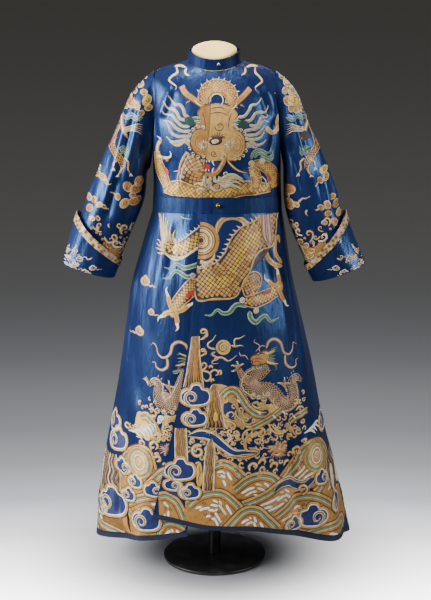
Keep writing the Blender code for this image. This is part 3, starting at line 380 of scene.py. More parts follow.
# Creases: side of the robe, height and half width in mm, then the line in mm as (along, up).
# Along is x on the front and back, and y on the sides; up is the height over the floor.
CREASES = {
    "bodice": [
        ("front", -2.4, 8, [(170, 1392), (166, 1330), (160, 1260), (152, 1190), (146, 1150)]),
        ("front", -2.4, 8, [(-170, 1392), (-166, 1330), (-160, 1260), (-152, 1190), (-146, 1150)]),
        ("front", 3.0, 9, [(128, 1372), (146, 1340), (160, 1302), (166, 1262)]),
        ("front", -2.0, 8, [(112, 1366), (132, 1322), (146, 1276)]),
        ("front", 2.2, 8, [(-112, 1372), (-128, 1332), (-146, 1282)]),
        ("front", -1.6, 9, [(-98, 1362), (-116, 1318), (-134, 1262)]),
        ("front", 1.8, 12, [(60, 1150), (84, 1118), (104, 1078)]),
        ("front", -1.4, 10, [(96, 1180), (118, 1136), (132, 1082)]),
        ("front", 1.6, 12, [(-64, 1160), (-88, 1122), (-100, 1080)]),
        ("front", -1.4, 10, [(-112, 1190), (-130, 1138), (-138, 1084)]),
        ("front", 1.2, 10, [(-22, 1130), (-30, 1102), (-32, 1078)]),
        ("front", 1.4, 9, [(34, 1124), (42, 1100), (44, 1078)]),
        ("back", 2.6, 12, [(-108, 1360), (-96, 1300), (-60, 1240)]),
        ("back", 2.2, 11, [(116, 1350), (100, 1290), (70, 1222)]),
        ("back", -1.8, 10, [(-70, 1180), (-90, 1130), (-96, 1080)]),
        ("back", 1.6, 12, [(40, 1170), (58, 1120), (62, 1080)]),
        ("back", 1.4, 10, [(-20, 1150), (-16, 1110), (-20, 1078)]),
    ],
    "skirt": [
        ("front", 2.0, 12, [(-120, 1020), (-140, 930), (-158, 820), (-166, 700)]),
        ("front", -2.0, 11, [(-96, 1020), (-112, 940), (-128, 850)]),
        ("front", 1.6, 14, [(-60, 1020), (-72, 900), (-80, 760)]),
        ("front", -1.5, 12, [(-30, 1020), (-34, 950), (-40, 870)]),
        ("front", 2.0, 14, [(64, 1020), (86, 920), (104, 790), (110, 660)]),
        ("front", -2.0, 12, [(108, 1020), (132, 930), (150, 820)]),
        ("front", 2.2, 13, [(140, 1010), (164, 900), (186, 770), (198, 640)]),
        ("front", 2.6, 16, [(-206, 560), (-222, 430), (-246, 300), (-262, 190)]),
        ("front", -3.0, 10, [(-262, 330), (-266, 250), (-268, 160)]),
        ("front", 2.6, 16, [(214, 560), (246, 420), (276, 300), (298, 160)]),
        ("front", -2.6, 14, [(186, 480), (208, 350), (230, 220), (240, 150)]),
        ("front", 2.0, 18, [(30, 700), (44, 520), (52, 360), (56, 200)]),
        ("front", -1.6, 16, [(120, 560), (140, 400), (150, 260)]),
        ("front", 1.8, 16, [(-110, 520), (-132, 380), (-146, 240)]),
        ("back", 3.0, 18, [(-110, 1010), (-140, 840), (-170, 600), (-190, 340)]),
        ("back", -3.0, 15, [(-60, 1010), (-78, 860), (-96, 640)]),
        ("back", 3.2, 20, [(16, 1010), (20, 800), (28, 560), (30, 300)]),
        ("back", -2.8, 16, [(70, 1010), (92, 850), (112, 640), (124, 420)]),
        ("back", 3.0, 18, [(120, 1000), (158, 800), (196, 560), (224, 320)]),
        ("back", 2.6, 22, [(-260, 480), (-290, 300), (-304, 120)]),
        ("back", -2.6, 18, [(-120, 420), (-134, 260), (-140, 110)]),
        ("back", 2.6, 22, [(110, 380), (120, 220), (124, 100)]),
        ("left", 2.6, 16, [(-40, 960), (-60, 760), (-78, 520)]),
        ("left", -2.4, 14, [(30, 980), (44, 780), (60, 560)]),
        ("left", 2.4, 18, [(90, 560), (110, 360), (120, 140)]),
        ("right", 2.6, 16, [(-30, 960), (-48, 740), (-60, 500)]),
        ("right", -2.4, 14, [(40, 970), (56, 800), (80, 540)]),
        ("right", 2.4, 18, [(70, 480), (84, 320), (90, 120)]),
    ],
    "sleeve_left": [
        ("front", -2.4, 8, [(170, 1392), (166, 1330), (160, 1260), (152, 1190), (146, 1150)]),
        ("front", 3.0, 11, [(188, 1360), (214, 1270), (240, 1170), (262, 1080)]),
        ("front", -3.2, 10, [(214, 1330), (236, 1250), (254, 1180)]),
        ("front", 3.0, 10, [(250, 1290), (276, 1190), (300, 1090), (316, 1010)]),
        ("front", -2.4, 9, [(196, 1230), (222, 1150), (244, 1060)]),
        ("front", 2.2, 10, [(300, 1210), (326, 1110), (346, 1030)]),
        ("front", -2.6, 10, [(276, 1130), (292, 1060), (306, 1000)]),
        ("back", 3.0, 14, [(210, 1330), (246, 1210), (280, 1090)]),
        ("back", -2.6, 12, [(250, 1290), (286, 1170), (312, 1060)]),
        ("back", 2.4, 12, [(206, 1200), (240, 1100), (270, 1020)]),
        ("left", 2.4, 12, [(-20, 1240), (-30, 1140), (-30, 1040)]),
    ],
    "sleeve_right": [
        ("front", -2.4, 8, [(-170, 1392), (-166, 1330), (-160, 1260), (-152, 1190), (-146, 1150)]),
        ("front", 3.0, 11, [(-186, 1360), (-206, 1280), (-228, 1180), (-250, 1090)]),
        ("front", -3.2, 10, [(-204, 1330), (-226, 1240), (-246, 1170)]),
        ("front", 3.2, 10, [(-226, 1300), (-252, 1210), (-280, 1110), (-300, 1020)]),
        ("front", -2.4, 9, [(-186, 1240), (-212, 1160), (-232, 1070)]),
        ("front", 2.4, 10, [(-276, 1230), (-306, 1130), (-328, 1040)]),
        ("front", -2.6, 10, [(-260, 1130), (-278, 1070), (-292, 1000)]),
        ("back", 3.0, 14, [(-210, 1330), (-240, 1220), (-272, 1090)]),
        ("back", -2.6, 12, [(-244, 1290), (-280, 1180), (-304, 1070)]),
        ("back", 2.4, 12, [(-200, 1200), (-232, 1110), (-262, 1020)]),
        ("right", 2.4, 12, [(-18, 1230), (-26, 1130), (-24, 1030)]),
    ],
    "cuff_left": [
        ("front", 1.6, 12, [(300, 990), (322, 930), (338, 860)]),
        ("front", -1.4, 12, [(344, 980), (366, 930), (380, 880)]),
        ("back", 1.8, 14, [(310, 990), (330, 920), (340, 860)]),
    ],
    "cuff_right": [
        ("front", 1.6, 12, [(-290, 990), (-312, 930), (-326, 860)]),
        ("front", -1.4, 12, [(-340, 980), (-360, 930), (-374, 880)]),
        ("back", 1.8, 14, [(-310, 990), (-326, 920), (-336, 860)]),
    ],
}

SIDES = {
    "front": (Vector((0, -1, 0)), 0),
    "back": (Vector((0, 1, 0)), 0),
    "left": (Vector((1, 0, 0)), 1),
    "right": (Vector((-1, 0, 0)), 1),
}


def islands(bm):
    """The connected groups of faces, the one with the most area first."""
    left = set(bm.faces)
    groups = []
    while left:
        seed = left.pop()
        group, edge = [seed], [seed]
        while edge:
            for side in edge.pop().edges:
                for near in side.link_faces:
                    if near in left:
                        left.remove(near)
                        group.append(near)
                        edge.append(near)
        groups.append(group)
    return sorted(groups, key=lambda g: -sum(f.calc_area() for f in g))


def new_object(name, data):
    """A new object in the scene."""
    made = bpy.data.objects.new(name, data)
    bpy.context.scene.collection.objects.link(made)
    return made


def merged(node):
    """The mesh of a CAD node, merged and joined into quads."""
    bm = bmesh.new()
    bm.from_mesh(frame["nodes"][node].data)
    bmesh.ops.remove_doubles(bm, verts=bm.verts, dist=MERGE)
    bmesh.ops.join_triangles(
        bm, faces=bm.faces, angle_face_threshold=math.pi, angle_shape_threshold=math.pi
    )
    return bm


def made_of(bm, name):
    """A new object with that mesh."""
    mesh = bpy.data.meshes.new(name)
    bm.to_mesh(mesh)
    bm.free()
    return new_object(name, mesh)


def outer_wall(node, name):
    """A new object with the outside of a cloth node alone."""
    bm = merged(node)
    rim = [f for f in bm.faces if min(e.calc_length() for e in f.edges) < RIM]
    bmesh.ops.delete(bm, geom=rim, context="FACES")
    for group in islands(bm)[1:]:
        bmesh.ops.delete(bm, geom=group, context="FACES")
    loose = [v for v in bm.verts if not v.link_faces]
    bmesh.ops.delete(bm, geom=loose, context="VERTS")
    return made_of(bm, name)


def clear_selection():
    """Selects nothing."""
    for other in bpy.context.view_layer.objects:
        other.select_set(False)


def pick(piece):
    """Selects one object alone and makes it active."""
    clear_selection()
    piece.select_set(True)
    bpy.context.view_layer.objects.active = piece


def shade(piece, degrees):
    """Smooth shading, except over edges that turn more than that."""
    pick(piece)
    bpy.ops.object.shade_smooth_by_angle(angle=math.radians(degrees))


def apply_modifier(piece, kind, **settings):
    """Adds a modifier and applies it."""
    pick(piece)
    made = piece.modifiers.new(kind.lower(), kind)
    for name, value in settings.items():
        setattr(made, name, value)
    bpy.ops.object.modifier_apply(modifier=made.name)


def subdivide(piece, level):
    """Smooths the cloth's sections into one surface, with its edges kept."""
    if level:
        apply_modifier(piece, "SUBSURF", levels=level, render_levels=level,
                       boundary_smooth="PRESERVE_CORNERS")


def split_rows(piece, cuts, longest):
    """Cuts the tall cells across, so that slanted creases have points to lie on."""
    bm = bmesh.new()
    bm.from_mesh(piece.data)
    tall = [
        e for e in bm.edges
        if e.calc_length() > longest
        and abs((e.verts[0].co - e.verts[1].co).z) > 0.8 * e.calc_length()
    ]
    bmesh.ops.subdivide_edges(bm, edges=tall, cuts=cuts, use_grid_fill=True)
    bm.to_mesh(piece.data)
    bm.free()


def along_line(points, line):
    """Distance of 2-D points from a line, and how far along it the nearest place is, 0 to 1."""
    line = np.asarray(line, float)
    spans = np.linalg.norm(np.diff(line, axis=0), axis=1)
    total = spans.sum()
    best = np.full(len(points), 1e9)
    share = np.zeros(len(points))
    run = 0.0
    for start, end, span in zip(line[:-1], line[1:], spans):
        way = (end - start) / span
        reach = np.clip((points - start) @ way, 0, span)
        gap = np.linalg.norm(points - start - reach[:, None] * way, axis=1)
        near = gap < best
        best[near] = gap[near]
        share[near] = (run + reach[near]) / total
        run += span
    return best, share


def lift_points(piece, lift):
    """Moves the points of a piece along their normals by lift(places, normals), in metres."""
    points = piece.data.vertices
    place, facing = np.empty(len(points) * 3), np.empty(len(points) * 3)
    points.foreach_get("co", place)
    points.foreach_get("normal", facing)
    place, facing = place.reshape(-1, 3), facing.reshape(-1, 3)
    place += facing * lift(place, facing)[:, None]
    points.foreach_set("co", place.ravel())
    piece.data.update()


# Lengths of the soft waves in the cloth and their heights, in metres; a cuff and its band share
# one seed, so that they move as one.
WAVE_LENGTHS = (0.11, 0.17, 0.26, 0.07)
LOW_WAVES, HIGH_WAVES, BACK_WAVES = 0.0006, 0.0012, 0.0016
CUFF_SEEDS = {"left": 11, "right": 12}


def crease(piece, creases, depth):
    """Raises the soft ridges and troughs of the cloth along its own normals."""

    def lift(place, facing):
        total = np.zeros(len(place))
        for side, height, width, line in creases:
            way, axis = SIDES[side]
            turned = np.clip((facing @ np.array(way) - 0.15) / 0.35, 0, 1)
            gap, share = along_line(place[:, [axis, 2]] / MM, line)
            ends = np.clip(np.minimum(share, 1 - share) / 0.22, 0, 1)
            ends = ends * ends * (3 - 2 * ends)
            total += height * MM * depth * turned * ends * np.exp(-((gap / width) ** 2))
        return total

    lift_points(piece, lift)


def soft_waves(piece, height, seed):
    """Low uneven waves all over, because no worn cloth hangs quite flat."""
    rng = random.Random(seed)
    waves = []
    for size in WAVE_LENGTHS:
        turn = rng.uniform(0, math.tau)
        way = Vector((math.cos(turn), math.sin(turn), rng.uniform(-0.35, 0.35)))
        waves.append((np.array(way) * math.tau / size, rng.uniform(0, math.tau)))

    def lift(place, facing):
        return sum(np.sin(place @ way + start) for way, start in waves) * height / len(waves)

    lift_points(piece, lift)


# The outside and edge of each panel, the cut of each satin panel, and the thread on each panel.
SURFACES, CUTS, THREAD_ON = {}, {}, {}


def keep_surface(piece):
    """Remembers the outside of a panel, for the thread that is laid on it later."""
    bm = bmesh.new()
    bm.from_mesh(piece.data)
    bm.normal_update()
    SURFACES[piece.name] = (BVHTree.FromBMesh(bm), border_loop(bm))
    bm.free()


def border_loop(bm):
    """The longest open edge of a surface, as places in order."""
    left = {v for v in bm.verts if v.is_boundary}
    longest = []
    while left:
        here = min(left, key=lambda v: v.index)
        loop = []
        while here is not None:
            left.discard(here)
            loop.append(tuple(here.co))
            near = [e.other_vert(here) for e in here.link_edges if e.is_boundary]
            near = [v for v in near if v in left]
            here = near[0] if near else None
        if len(loop) > len(longest):
            longest = loop
    return longest


def thicken(piece, wall):
    """Gives the cloth its thickness, inwards from the outside."""
    apply_modifier(piece, "SOLIDIFY", thickness=wall, offset=-1, use_even_offset=True,
                   use_rim=True)
    shade(piece, 50)


def dress(piece, surface):
    """Gives a piece one material."""
    piece.data.materials.clear()
    piece.data.materials.append(surface)


def carry(piece, node):
    """Rides a piece on the body in place of its node."""
    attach(piece, BODY)
    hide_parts(node)


def satin_panel(node, group, level, rows, wall, flat, area, seed, waves=LOW_WAVES):
    """One cut of the blue satin, from its node's outside to a finished shell."""
    cloth = bpy.context.scene.robe_cloth
    piece = outer_wall(node, node + "_satin")
    subdivide(piece, level[0])
    if rows:
        split_rows(piece, rows, LONGEST)
    subdivide(piece, level[1])
    crease(piece, CREASES[group], cloth.crease)
    soft_waves(piece, waves, seed)
    keep_surface(piece)
    thicken(piece, wall)
    dress(piece, material("silk_satin_woven", silk_satin, cloth.satin, cloth.satin_shade))
    carry(piece, node)
    CUTS[piece.name] = (piece, flat, area)


def declare_cloth():
    CUTS.clear()


# ---- embroidery ----------------------------------------------------------------

STEP = 4.5  # mm between points along a line of thread
FILL = 5.0  # mm between points inside a filled shape
LAYER = 0.30  # mm that each layer of thread stands over the one below
SUNK = 0.15  # mm that the edges of a shape lie under its layer, so that none stands off

THREADS = (
    "gold", "ochre", "bronze", "cream", "white", "pink", "green", "leaf", "pine", "red", "navy",
    "azure", "sky", "yellow", "umber", "tan",
)
METAL_THREADS = {"gold": 0.3, "ochre": 0.3, "yellow": 0.25, "bronze": 0.15, "tan": 0.2}


def laid_thread(name, face, metal):
    """Floss or gold-wrapped thread laid side by side: a silky sheen with fine ribs across it."""
    made, tree, place = blank(name)
    across = add(tree, "UVMap", {"uv_map": "stitch"}).outputs[0]
    # Threads 1.1 mm wide, about three times the real ones so that they show.
    ribs = add(tree, "TexWave", {"wave_type": "BANDS", "bands_direction": "Y",
                                 "wave_profile": "SIN"},
               {"Vector": across, "Scale": 290.0, "Distortion": 0.6, "Detail": 1.0}).outputs["Fac"]
    # The ribs also darken the colour between the threads and lighten it on their crests, a painted
    # shade and painted highlight; the noise adds uneven tone about 11 mm across.
    both = blend(tree, ribs, 0.3, noise(tree, place, 90.0, 3.0))
    tone = ramp(tree, both, [(0.30, rgba(face, 0.62)), (0.62, rgba(face)), (0.9, rgba(face, 1.25))])
    bump = raised(tree, ribs, 0.35, 0.0003)
    coat(tree, tone, bump, Roughness=0.42, Metallic=metal, Sheen_Weight=0.15, Sheen_Roughness=0.4)
    return made


def arc(path):
    """The length of a line from its start to each of its points."""
    return np.concatenate([[0], np.cumsum(np.linalg.norm(np.diff(path, axis=0), axis=1))])


def axes(angle):
    """Unit vectors along an angle in radians and to its left."""
    cos, sin = math.cos(angle), math.sin(angle)
    return np.array([cos, sin]), np.array([-sin, cos])


def between(where, run, rows):
    """The row at a length along a line, between the rows at its points."""
    return np.array([np.interp(where, run, rows[:, k]) for k in (0, 1)])


def bend(points, step=STEP, closed=False):
    """A smooth line through points, with its own points an even step apart."""
    points = np.asarray(points, float)
    count = len(points)
    if count > 2 or closed:
        if closed:
            ring = np.vstack([points[-1:], points, points[:2]])
        else:
            ring = np.vstack([2 * points[0] - points[1], points, 2 * points[-1] - points[-2]])
        part = np.linspace(0, 1, 9)[:-1, None]
        rows = []
        for a, b, c, d in zip(ring[:-3], ring[1:-2], ring[2:-1], ring[3:]):
            rows.append(0.5 * (2 * b + (c - a) * part + (2 * a - 5 * b + 4 * c - d) * part**2
                               + (3 * b - a - 3 * c + d) * part**3))
        points = np.vstack(rows + [ring[-2:-1]])
    run = arc(points)
    number = max(2, int(round(run[-1] / step)) + 1)
    even = np.linspace(0, run[-1], number)
    return np.column_stack([np.interp(even, run, points[:, 0]), np.interp(even, run, points[:, 1])])


def sideways(path):
    """Unit normals of a line, to its left."""
    way = np.gradient(path, axis=0)
    way /= np.maximum(np.linalg.norm(way, axis=1, keepdims=True), 1e-9)
    return np.column_stack([-way[:, 1], way[:, 0]])


def spiral(centre, outer, inner, start, turns):
    """Points of a spiral that winds inwards; start is in degrees, turns are counter-clockwise."""
    number = max(5, int(abs(turns) * 12))
    share = np.linspace(0, 1, number)
    angle = math.radians(start) + share * turns * math.tau
    radius = outer + (inner - outer) * share
    return np.column_stack([centre[0] + radius * np.cos(angle), centre[1] + radius * np.sin(angle)])


# One scale: places as shares of its cell, and its height in mm; the last point is its crown.
SCALE = np.array([(-0.43, 0, 0), (-0.03, 0.42, 0), (0.25, 0.27, 0.06), (0.41, 0, 0.08),
                  (0.25, -0.27, 0.06), (-0.03, -0.42, 0), (0.04, 0, 0.26)])
SCALE_FACES = [(k, (k + 1) % 6, 6) for k in range(6)]


class Needle:
    """Thread for one panel, drawn flat in millimetres as (along, up) before it is laid on cloth.

    Each motif is drawn in its own units, at the origin, size and turn that at() sets last.
    """

    def __init__(self, seed):
        self.rng = random.Random(seed)
        self.points, self.stitch, self.faces, self.threads = [], [], [], []
        self.count = 0
        self.loose = 0.9
        self.at(0, 0)

    def at(self, along, up, size=1.0, turn=0.0, flip=1, rise=1.0):
        """Puts the next shapes' own origin here, with their size, turn in degrees and mirror."""
        a = math.radians(turn)
        self.size = size
        self.origin = np.array([along, up], float)
        self.matrix = size * np.array([[math.cos(a), -math.sin(a)], [math.sin(a), math.cos(a)]])
        self.matrix = self.matrix @ np.array([[flip, 0], [0, rise]])
        self.spread = None

    def to(self, points):
        """Shape coordinates as panel millimetres."""
        flat = np.asarray(points, float) @ self.matrix.T + self.origin
        if self.spread is not None:
            flat[:, 0] = np.interp(flat[:, 0], *self.spread)
        return flat

    def emit(self, places, heights, stitch, faces, thread):
        """Keeps one shape."""
        self.points.append(np.column_stack([places, heights]))
        self.stitch.append(stitch)
        self.faces.append(np.asarray(faces, int) + self.count)
        self.threads.append(np.full(len(faces), THREADS.index(thread)))
        self.count += len(places)

    def strip(self, path, half, thread, level, rows=1):
        """A crowned strip of thread with a given half width at each of its points, in panel mm."""
        side = sideways(path)
        shares = np.linspace(-1, 1, 2 * rows + 1)
        number, wide = len(path), len(shares)
        across = side[:, None, :] * (half[:, None] * shares)[..., None]
        places = (path[:, None, :] + across).reshape(-1, 2)
        base = level * LAYER
        crown = np.where(np.abs(shares) > 0.999, -SUNK, 0.2 + 0.15 * (1 - shares**2) / rows)
        heights = np.tile(base + crown, number)
        run = arc(path)
        stitch = np.column_stack([np.repeat(run, wide), (half[:, None] * shares).ravel()]) * MM
        faces = []
        for i in range(number - 1):
            for j in range(wide - 1):
                a, b = i * wide + j, i * wide + j + 1
                c, d = a + wide, b + wide
                faces += [(a, c, b), (b, c, d)]
        self.emit(places, heights, stitch, faces, thread)

    def line(self, points, width, thread, level=1, taper=(0.25, 0.25), tip=0.12, shift=0.0,
             closed=False, seen=None):
        """A line of thread that narrows at its ends; shift moves it sideways in shape units.
        seen says which of its points aren't covered by a later shape."""
        path = bend(self.to(points), STEP, closed)
        if shift:
            path = path + sideways(path) * shift * self.size
        share = np.linspace(0, 1, len(path))
        half = np.full(len(path), width * self.size / 2)
        for part, way in ((taper[0], share), (taper[1], 1 - share)):
            if part:
                half *= tip + (1 - tip) * np.clip(way / part, 0, 1) ** 0.8
        if seen is None:
            self.strip(path, half, thread, level)
            return
        shown = seen(path)
        start = None
        for k in range(len(path) + 1):
            if k < len(path) and shown[k]:
                start = k if start is None else start
            elif start is not None:
                if k - start > 1:
                    self.strip(path[start:k], half[start:k], thread, level)
                start = None

    def stack(self, points, stripes, level=1, taper=(0.25, 0.25), tip=0.12):
        """Lines one over another on the same points: width and thread of each, from below."""
        for height, (width, thread) in enumerate(stripes):
            self.line(points, width, thread, level + height, taper, tip)

    def ring(self, centre, radius, width, thread, level=1):
        """A round line."""
        self.line(spiral(centre, radius, radius, 0, 1.0), width, thread, level, (0, 0))

    def patch(self, outline, thread, level=0, smooth=True):
        """A filled shape with a soft edge."""
        edge = self.to(outline)
        edge = bend(edge, STEP, closed=True)[:-1] if smooth else edge
        low, high = edge.min(0), edge.max(0)
        inner = []
        for row, y in enumerate(np.arange(low[1] + FILL * 0.5, high[1], FILL * 0.87), 1):
            for x in np.arange(low[0] + FILL * (0.25 + 0.5 * (row % 2)), high[0], FILL):
                inner.append((x, y))
        if inner:
            inner = np.array(inner)
            inner = inner[inside_gap(inner, edge) > FILL * 0.45]
        places = np.vstack([edge, inner]) if len(inner) else edge
        loop = list(range(len(edge)))
        made = delaunay_2d_cdt([Vector(p) for p in places], [], [loop], 1, 1e-6, True)
        source = [group[0] if group else 0 for group in made[3]]
        places = np.array([tuple(v) for v in made[0]])
        heights = np.array([(-SUNK if i < len(edge) else 0.2) + level * LAYER for i in source])
        faces = [tuple(f) for f in made[2] if len(f) == 3]
        if faces:
            self.emit(places, heights, places * MM, faces, thread)

    def disc(self, centre, radius, thread, level=0):
        """A filled round."""
        turn = np.linspace(0, math.tau, 13)[:-1]
        self.patch(np.column_stack([centre[0] + radius * np.cos(turn),
                                    centre[1] + radius * np.sin(turn)]), thread, level)

    def scales(self, centres, turns, cell, threads, level):
        """Lays one rounded scale at each centre, turned to its own direction."""
        for (x, y), turn, thread in zip(centres, turns, threads):
            way, off = axes(turn)
            flat = (SCALE[:, :1] * way + SCALE[:, 1:2] * off) * cell * self.loose + (x, y)
            self.emit(flat, SCALE[:, 2] + (level + 1) * LAYER,
                      SCALE[:, :2] * cell * MM + flat[0, 0] * MM, SCALE_FACES, thread)

    def scaled(self, points, halves, cell, colours, level=0, ground="umber", rim="gold"):
        """A limb or body covered in a net of rounded scales, in shape units."""
        path = bend(self.to(points))
        share = np.linspace(0, 1, len(path))
        half = np.interp(share, np.linspace(0, 1, len(halves)), halves) * self.size
        self.strip(path, half, ground, level, max(1, int(half.max() / 6)))
        side = sideways(path)
        run = arc(path)
        cell = cell * self.size
        centres, turns, threads = [], [], []
        for row, u in enumerate(np.arange(cell * 0.4, run[-1] - cell * 0.3, cell * 0.5), 1):
            wide = np.interp(u, run, half)
            middle, across = between(u, run, path), between(u, run, side)
            reach = int(wide / cell) + 1
            for j in range(-reach, reach + 1):
                v = (j + 0.5 * (row % 2)) * cell
                if abs(v) > wide - 0.42 * cell:
                    continue
                centres.append(middle + across * v)
                turns.append(math.atan2(-across[0], across[1]))
                bright = abs(v) < wide * 0.5 and self.rng.random() < 0.8
                threads.append(colours[0] if bright else self.rng.choice(colours[1:]))
        self.scales(centres, turns, cell, threads, level)
        thick = np.full(len(path), max(0.7, cell * 0.13))
        for way in (-1, 1):
            self.strip(path + side * (half * way)[:, None], thick, rim, level + 1)

    def field(self, outline, cell, colours, level, turn):
        """A closed shape covered in a net of rounded scales, in shape units."""
        ring = bend(self.to(outline), STEP, closed=True)[:-1]
        self.patch(outline, "umber", level)
        cell = cell * self.size
        a = math.radians(turn)
        way, off = axes(a)
        middle = ring.mean(0)
        reach = int(np.linalg.norm(ring - middle, axis=1).max() / cell) + 1
        rows = range(-2 * reach, 2 * reach + 1)
        centres = np.array([middle + way * 0.5 * row * cell + off * (j + 0.5 * (row % 2)) * cell
                            for row in rows for j in range(-reach, reach + 1)])
        gap = inside_gap(centres, ring)
        centres, gap = centres[gap > 0.44 * cell], gap[gap > 0.44 * cell]
        threads = [colours[0] if g > 2.2 * cell and self.rng.random() < 0.85
                   else self.rng.choice(colours[1:]) for g in gap]
        self.scales(centres, [a] * len(centres), cell, threads, level)
        self.line(outline, 0.3 * cell / self.size, "gold", level + 1, (0, 0), closed=True)

    def spikes(self, points, shift, size, gap, thread, level=0):
        """Small pointed fins that stand off one side of a line."""
        path = bend(self.to(points))
        side = sideways(path)
        run = arc(path)
        way = math.copysign(1, shift)
        shifts = abs(shift) * self.size
        for u in np.arange(gap * 0.5, run[-1] / self.size, gap) * self.size:
            root = between(u, run, path + side * way * shifts)
            out = between(u, run, side) * way
            along = np.array([out[1], -out[0]]) * way
            tip = root + (out + along * 0.35) * size * self.size
            base = along * size * self.size * 0.28
            places = np.array([root - base - out * 0.5, root + base - out * 0.5, tip,
                               root + out * 0.4])
            heights = np.array([0.05, 0.05, 0.1, 0.45]) + level * LAYER
            self.emit(places, heights, places * MM, [(0, 1, 3), (1, 2, 3), (2, 0, 3)], thread)


def inside_gap(points, loop):
    """Distance of points from the edge of a closed shape: positive inside it, negative outside."""
    start = loop
    end = np.roll(loop, -1, axis=0)
    best = np.full(len(points), 1e18)
    inside = np.zeros(len(points), bool)
    for a, b in zip(start, end):
        way = b - a
        long = way @ way
        if long < 1e-12:
            continue
        reach = np.clip(((points - a) @ way) / long, 0, 1)
        off = points - a - reach[:, None] * way
        best = np.minimum(best, off[:, 0] ** 2 + off[:, 1] ** 2)
        crosses = (a[1] > points[:, 1]) != (b[1] > points[:, 1])
        if crosses.any():
            rise = way[1] if abs(way[1]) > 1e-12 else 1e-12
            where = a[0] + (points[:, 1] - a[1]) * way[0] / rise
            inside ^= crosses & (points[:, 0] < where)
    gap = np.sqrt(best)
    return np.where(inside, gap, -gap)


def cut(needle, gaps):
    """Cuts away the thread where its gap value is negative."""
    points = np.vstack(needle.points)
    stitch = np.vstack(needle.stitch)
    faces = np.vstack(needle.faces)
    threads = np.concatenate(needle.threads)
    state = gaps(points[:, :2])
    keep = (state >= 0)[faces]
    whole = keep.all(1)
    part = keep.any(1) & ~whole
    points, stitch, state = list(points), list(stitch), list(state)
    out, kinds = [tuple(f) for f in faces[whole]], list(threads[whole])
    seams = {}

    def seam(a, b):
        key = (min(a, b), max(a, b))
        if key not in seams:
            share = state[a] / (state[a] - state[b])
            points.append(points[a] + (points[b] - points[a]) * share)
            stitch.append(stitch[a] + (stitch[b] - stitch[a]) * share)
            state.append(0.0)
            seams[key] = len(points) - 1
        return seams[key]

    for face, thread in zip(faces[part], threads[part]):
        ring = []
        for a, b in zip(face, np.roll(face, -1)):
            if state[a] >= 0:
                ring.append(a)
            if (state[a] >= 0) != (state[b] >= 0):
                ring.append(seam(a, b))
        for k in range(1, len(ring) - 1):
            out.append((ring[0], ring[k], ring[k + 1]))
            kinds.append(thread)
    return np.array(points), np.array(stitch), np.array(out, int), np.array(kinds, int)


class RoundForm:
    """Unrolls cloth that goes round an axis: along is the arc from the front, up the axis."""

    REACH = 1.0  # metres from the axis to where the rays start
    turned = 1

    def __init__(self, names, origin, axis, front, low, high):
        self.origin, self.axis = Vector(origin), Vector(axis).normalized()
        self.front = (Vector(front) - self.axis * Vector(front).dot(self.axis)).normalized()
        self.side = self.axis.cross(self.front)
        self.turns = np.radians(np.arange(-180, 181, 2.5))
        self.levels = np.linspace(low, high, max(8, int((high - low) / 0.03)))
        trees = [SURFACES[n][0] for n in names]
        table = []
        for level in self.levels:
            radii = np.full(len(self.turns), np.nan)
            for k, turn in enumerate(self.turns):
                best = None
                for tree in trees:
                    hit = self.cast(tree, turn, level)
                    if hit is not None:
                        far = (hit[0] - self.origin - self.axis * level).length
                        best = far if best is None else max(best, far)
                if best is not None:
                    radii[k] = best
            known = ~np.isnan(radii)
            radii = np.interp(self.turns, self.turns[known], radii[known], period=math.tau)
            x, y = radii * np.cos(self.turns), radii * np.sin(self.turns)
            steps = np.hypot(np.diff(x), np.diff(y))
            run = np.concatenate([[0], np.cumsum(steps)])
            table.append(run - np.interp(0, self.turns, run))
        self.table = np.array(table) / MM

    def way(self, turn):
        """The outward direction at a turn from the front."""
        return self.front * math.cos(turn) + self.side * math.sin(turn)

    def cast(self, tree, turn, level):
        """Where a ray from outside meets one panel."""
        out = self.way(turn)
        start = self.origin + self.axis * level + out * self.REACH
        place, normal = tree.ray_cast(start, -out, self.REACH)[:2]
        return None if place is None else (place, normal)

    def runs(self, level):
        """Arc lengths in mm at every turn, at one height."""
        spot = np.interp(level, self.levels, np.arange(len(self.levels)))
        low = min(int(spot), len(self.levels) - 2)
        share = spot - low
        return self.table[low] * (1 - share) + self.table[low + 1] * share

    def lay(self, tree, along, up):
        """The place and normal on one panel of a flat point in mm."""
        level = up * MM
        turn = float(np.interp(along, self.runs(level), self.turns))
        found = self.cast(tree, turn, level)
        if found is None:
            found = tree.find_nearest(self.origin + self.axis * level + self.way(turn) * 0.2)[:2]
        return found

    def unroll(self, place):
        """The flat point in mm of a place on the cloth."""
        off = Vector(place) - self.origin
        level = off.dot(self.axis)
        turn = math.atan2(off.dot(self.side), off.dot(self.front))
        return float(np.interp(turn, self.turns, self.runs(level))), level / MM


class FlatForm:
    """Looks straight at the front or the back: along is x, up is the height."""

    def __init__(self, way):
        self.way = Vector((0, way, 0))
        self.turned = way

    def lay(self, tree, along, up):
        """The place and normal on one panel of a flat point in mm."""
        start = Vector((along * MM, 0, up * MM))
        found = tree.ray_cast(start - self.way, self.way, 2.0)
        if found[0] is None:
            found = tree.find_nearest(start - self.way * 0.12)
        return found[:2]

    def unroll(self, place):
        """The flat point in mm of a place on the cloth."""
        return place[0] / MM, place[2] / MM


def outline(name, form, thin=3):
    """The edge of a panel as a flat closed line in mm."""
    loop = SURFACES[name][1]
    return np.array([form.unroll(p) for p in loop[::thin]])


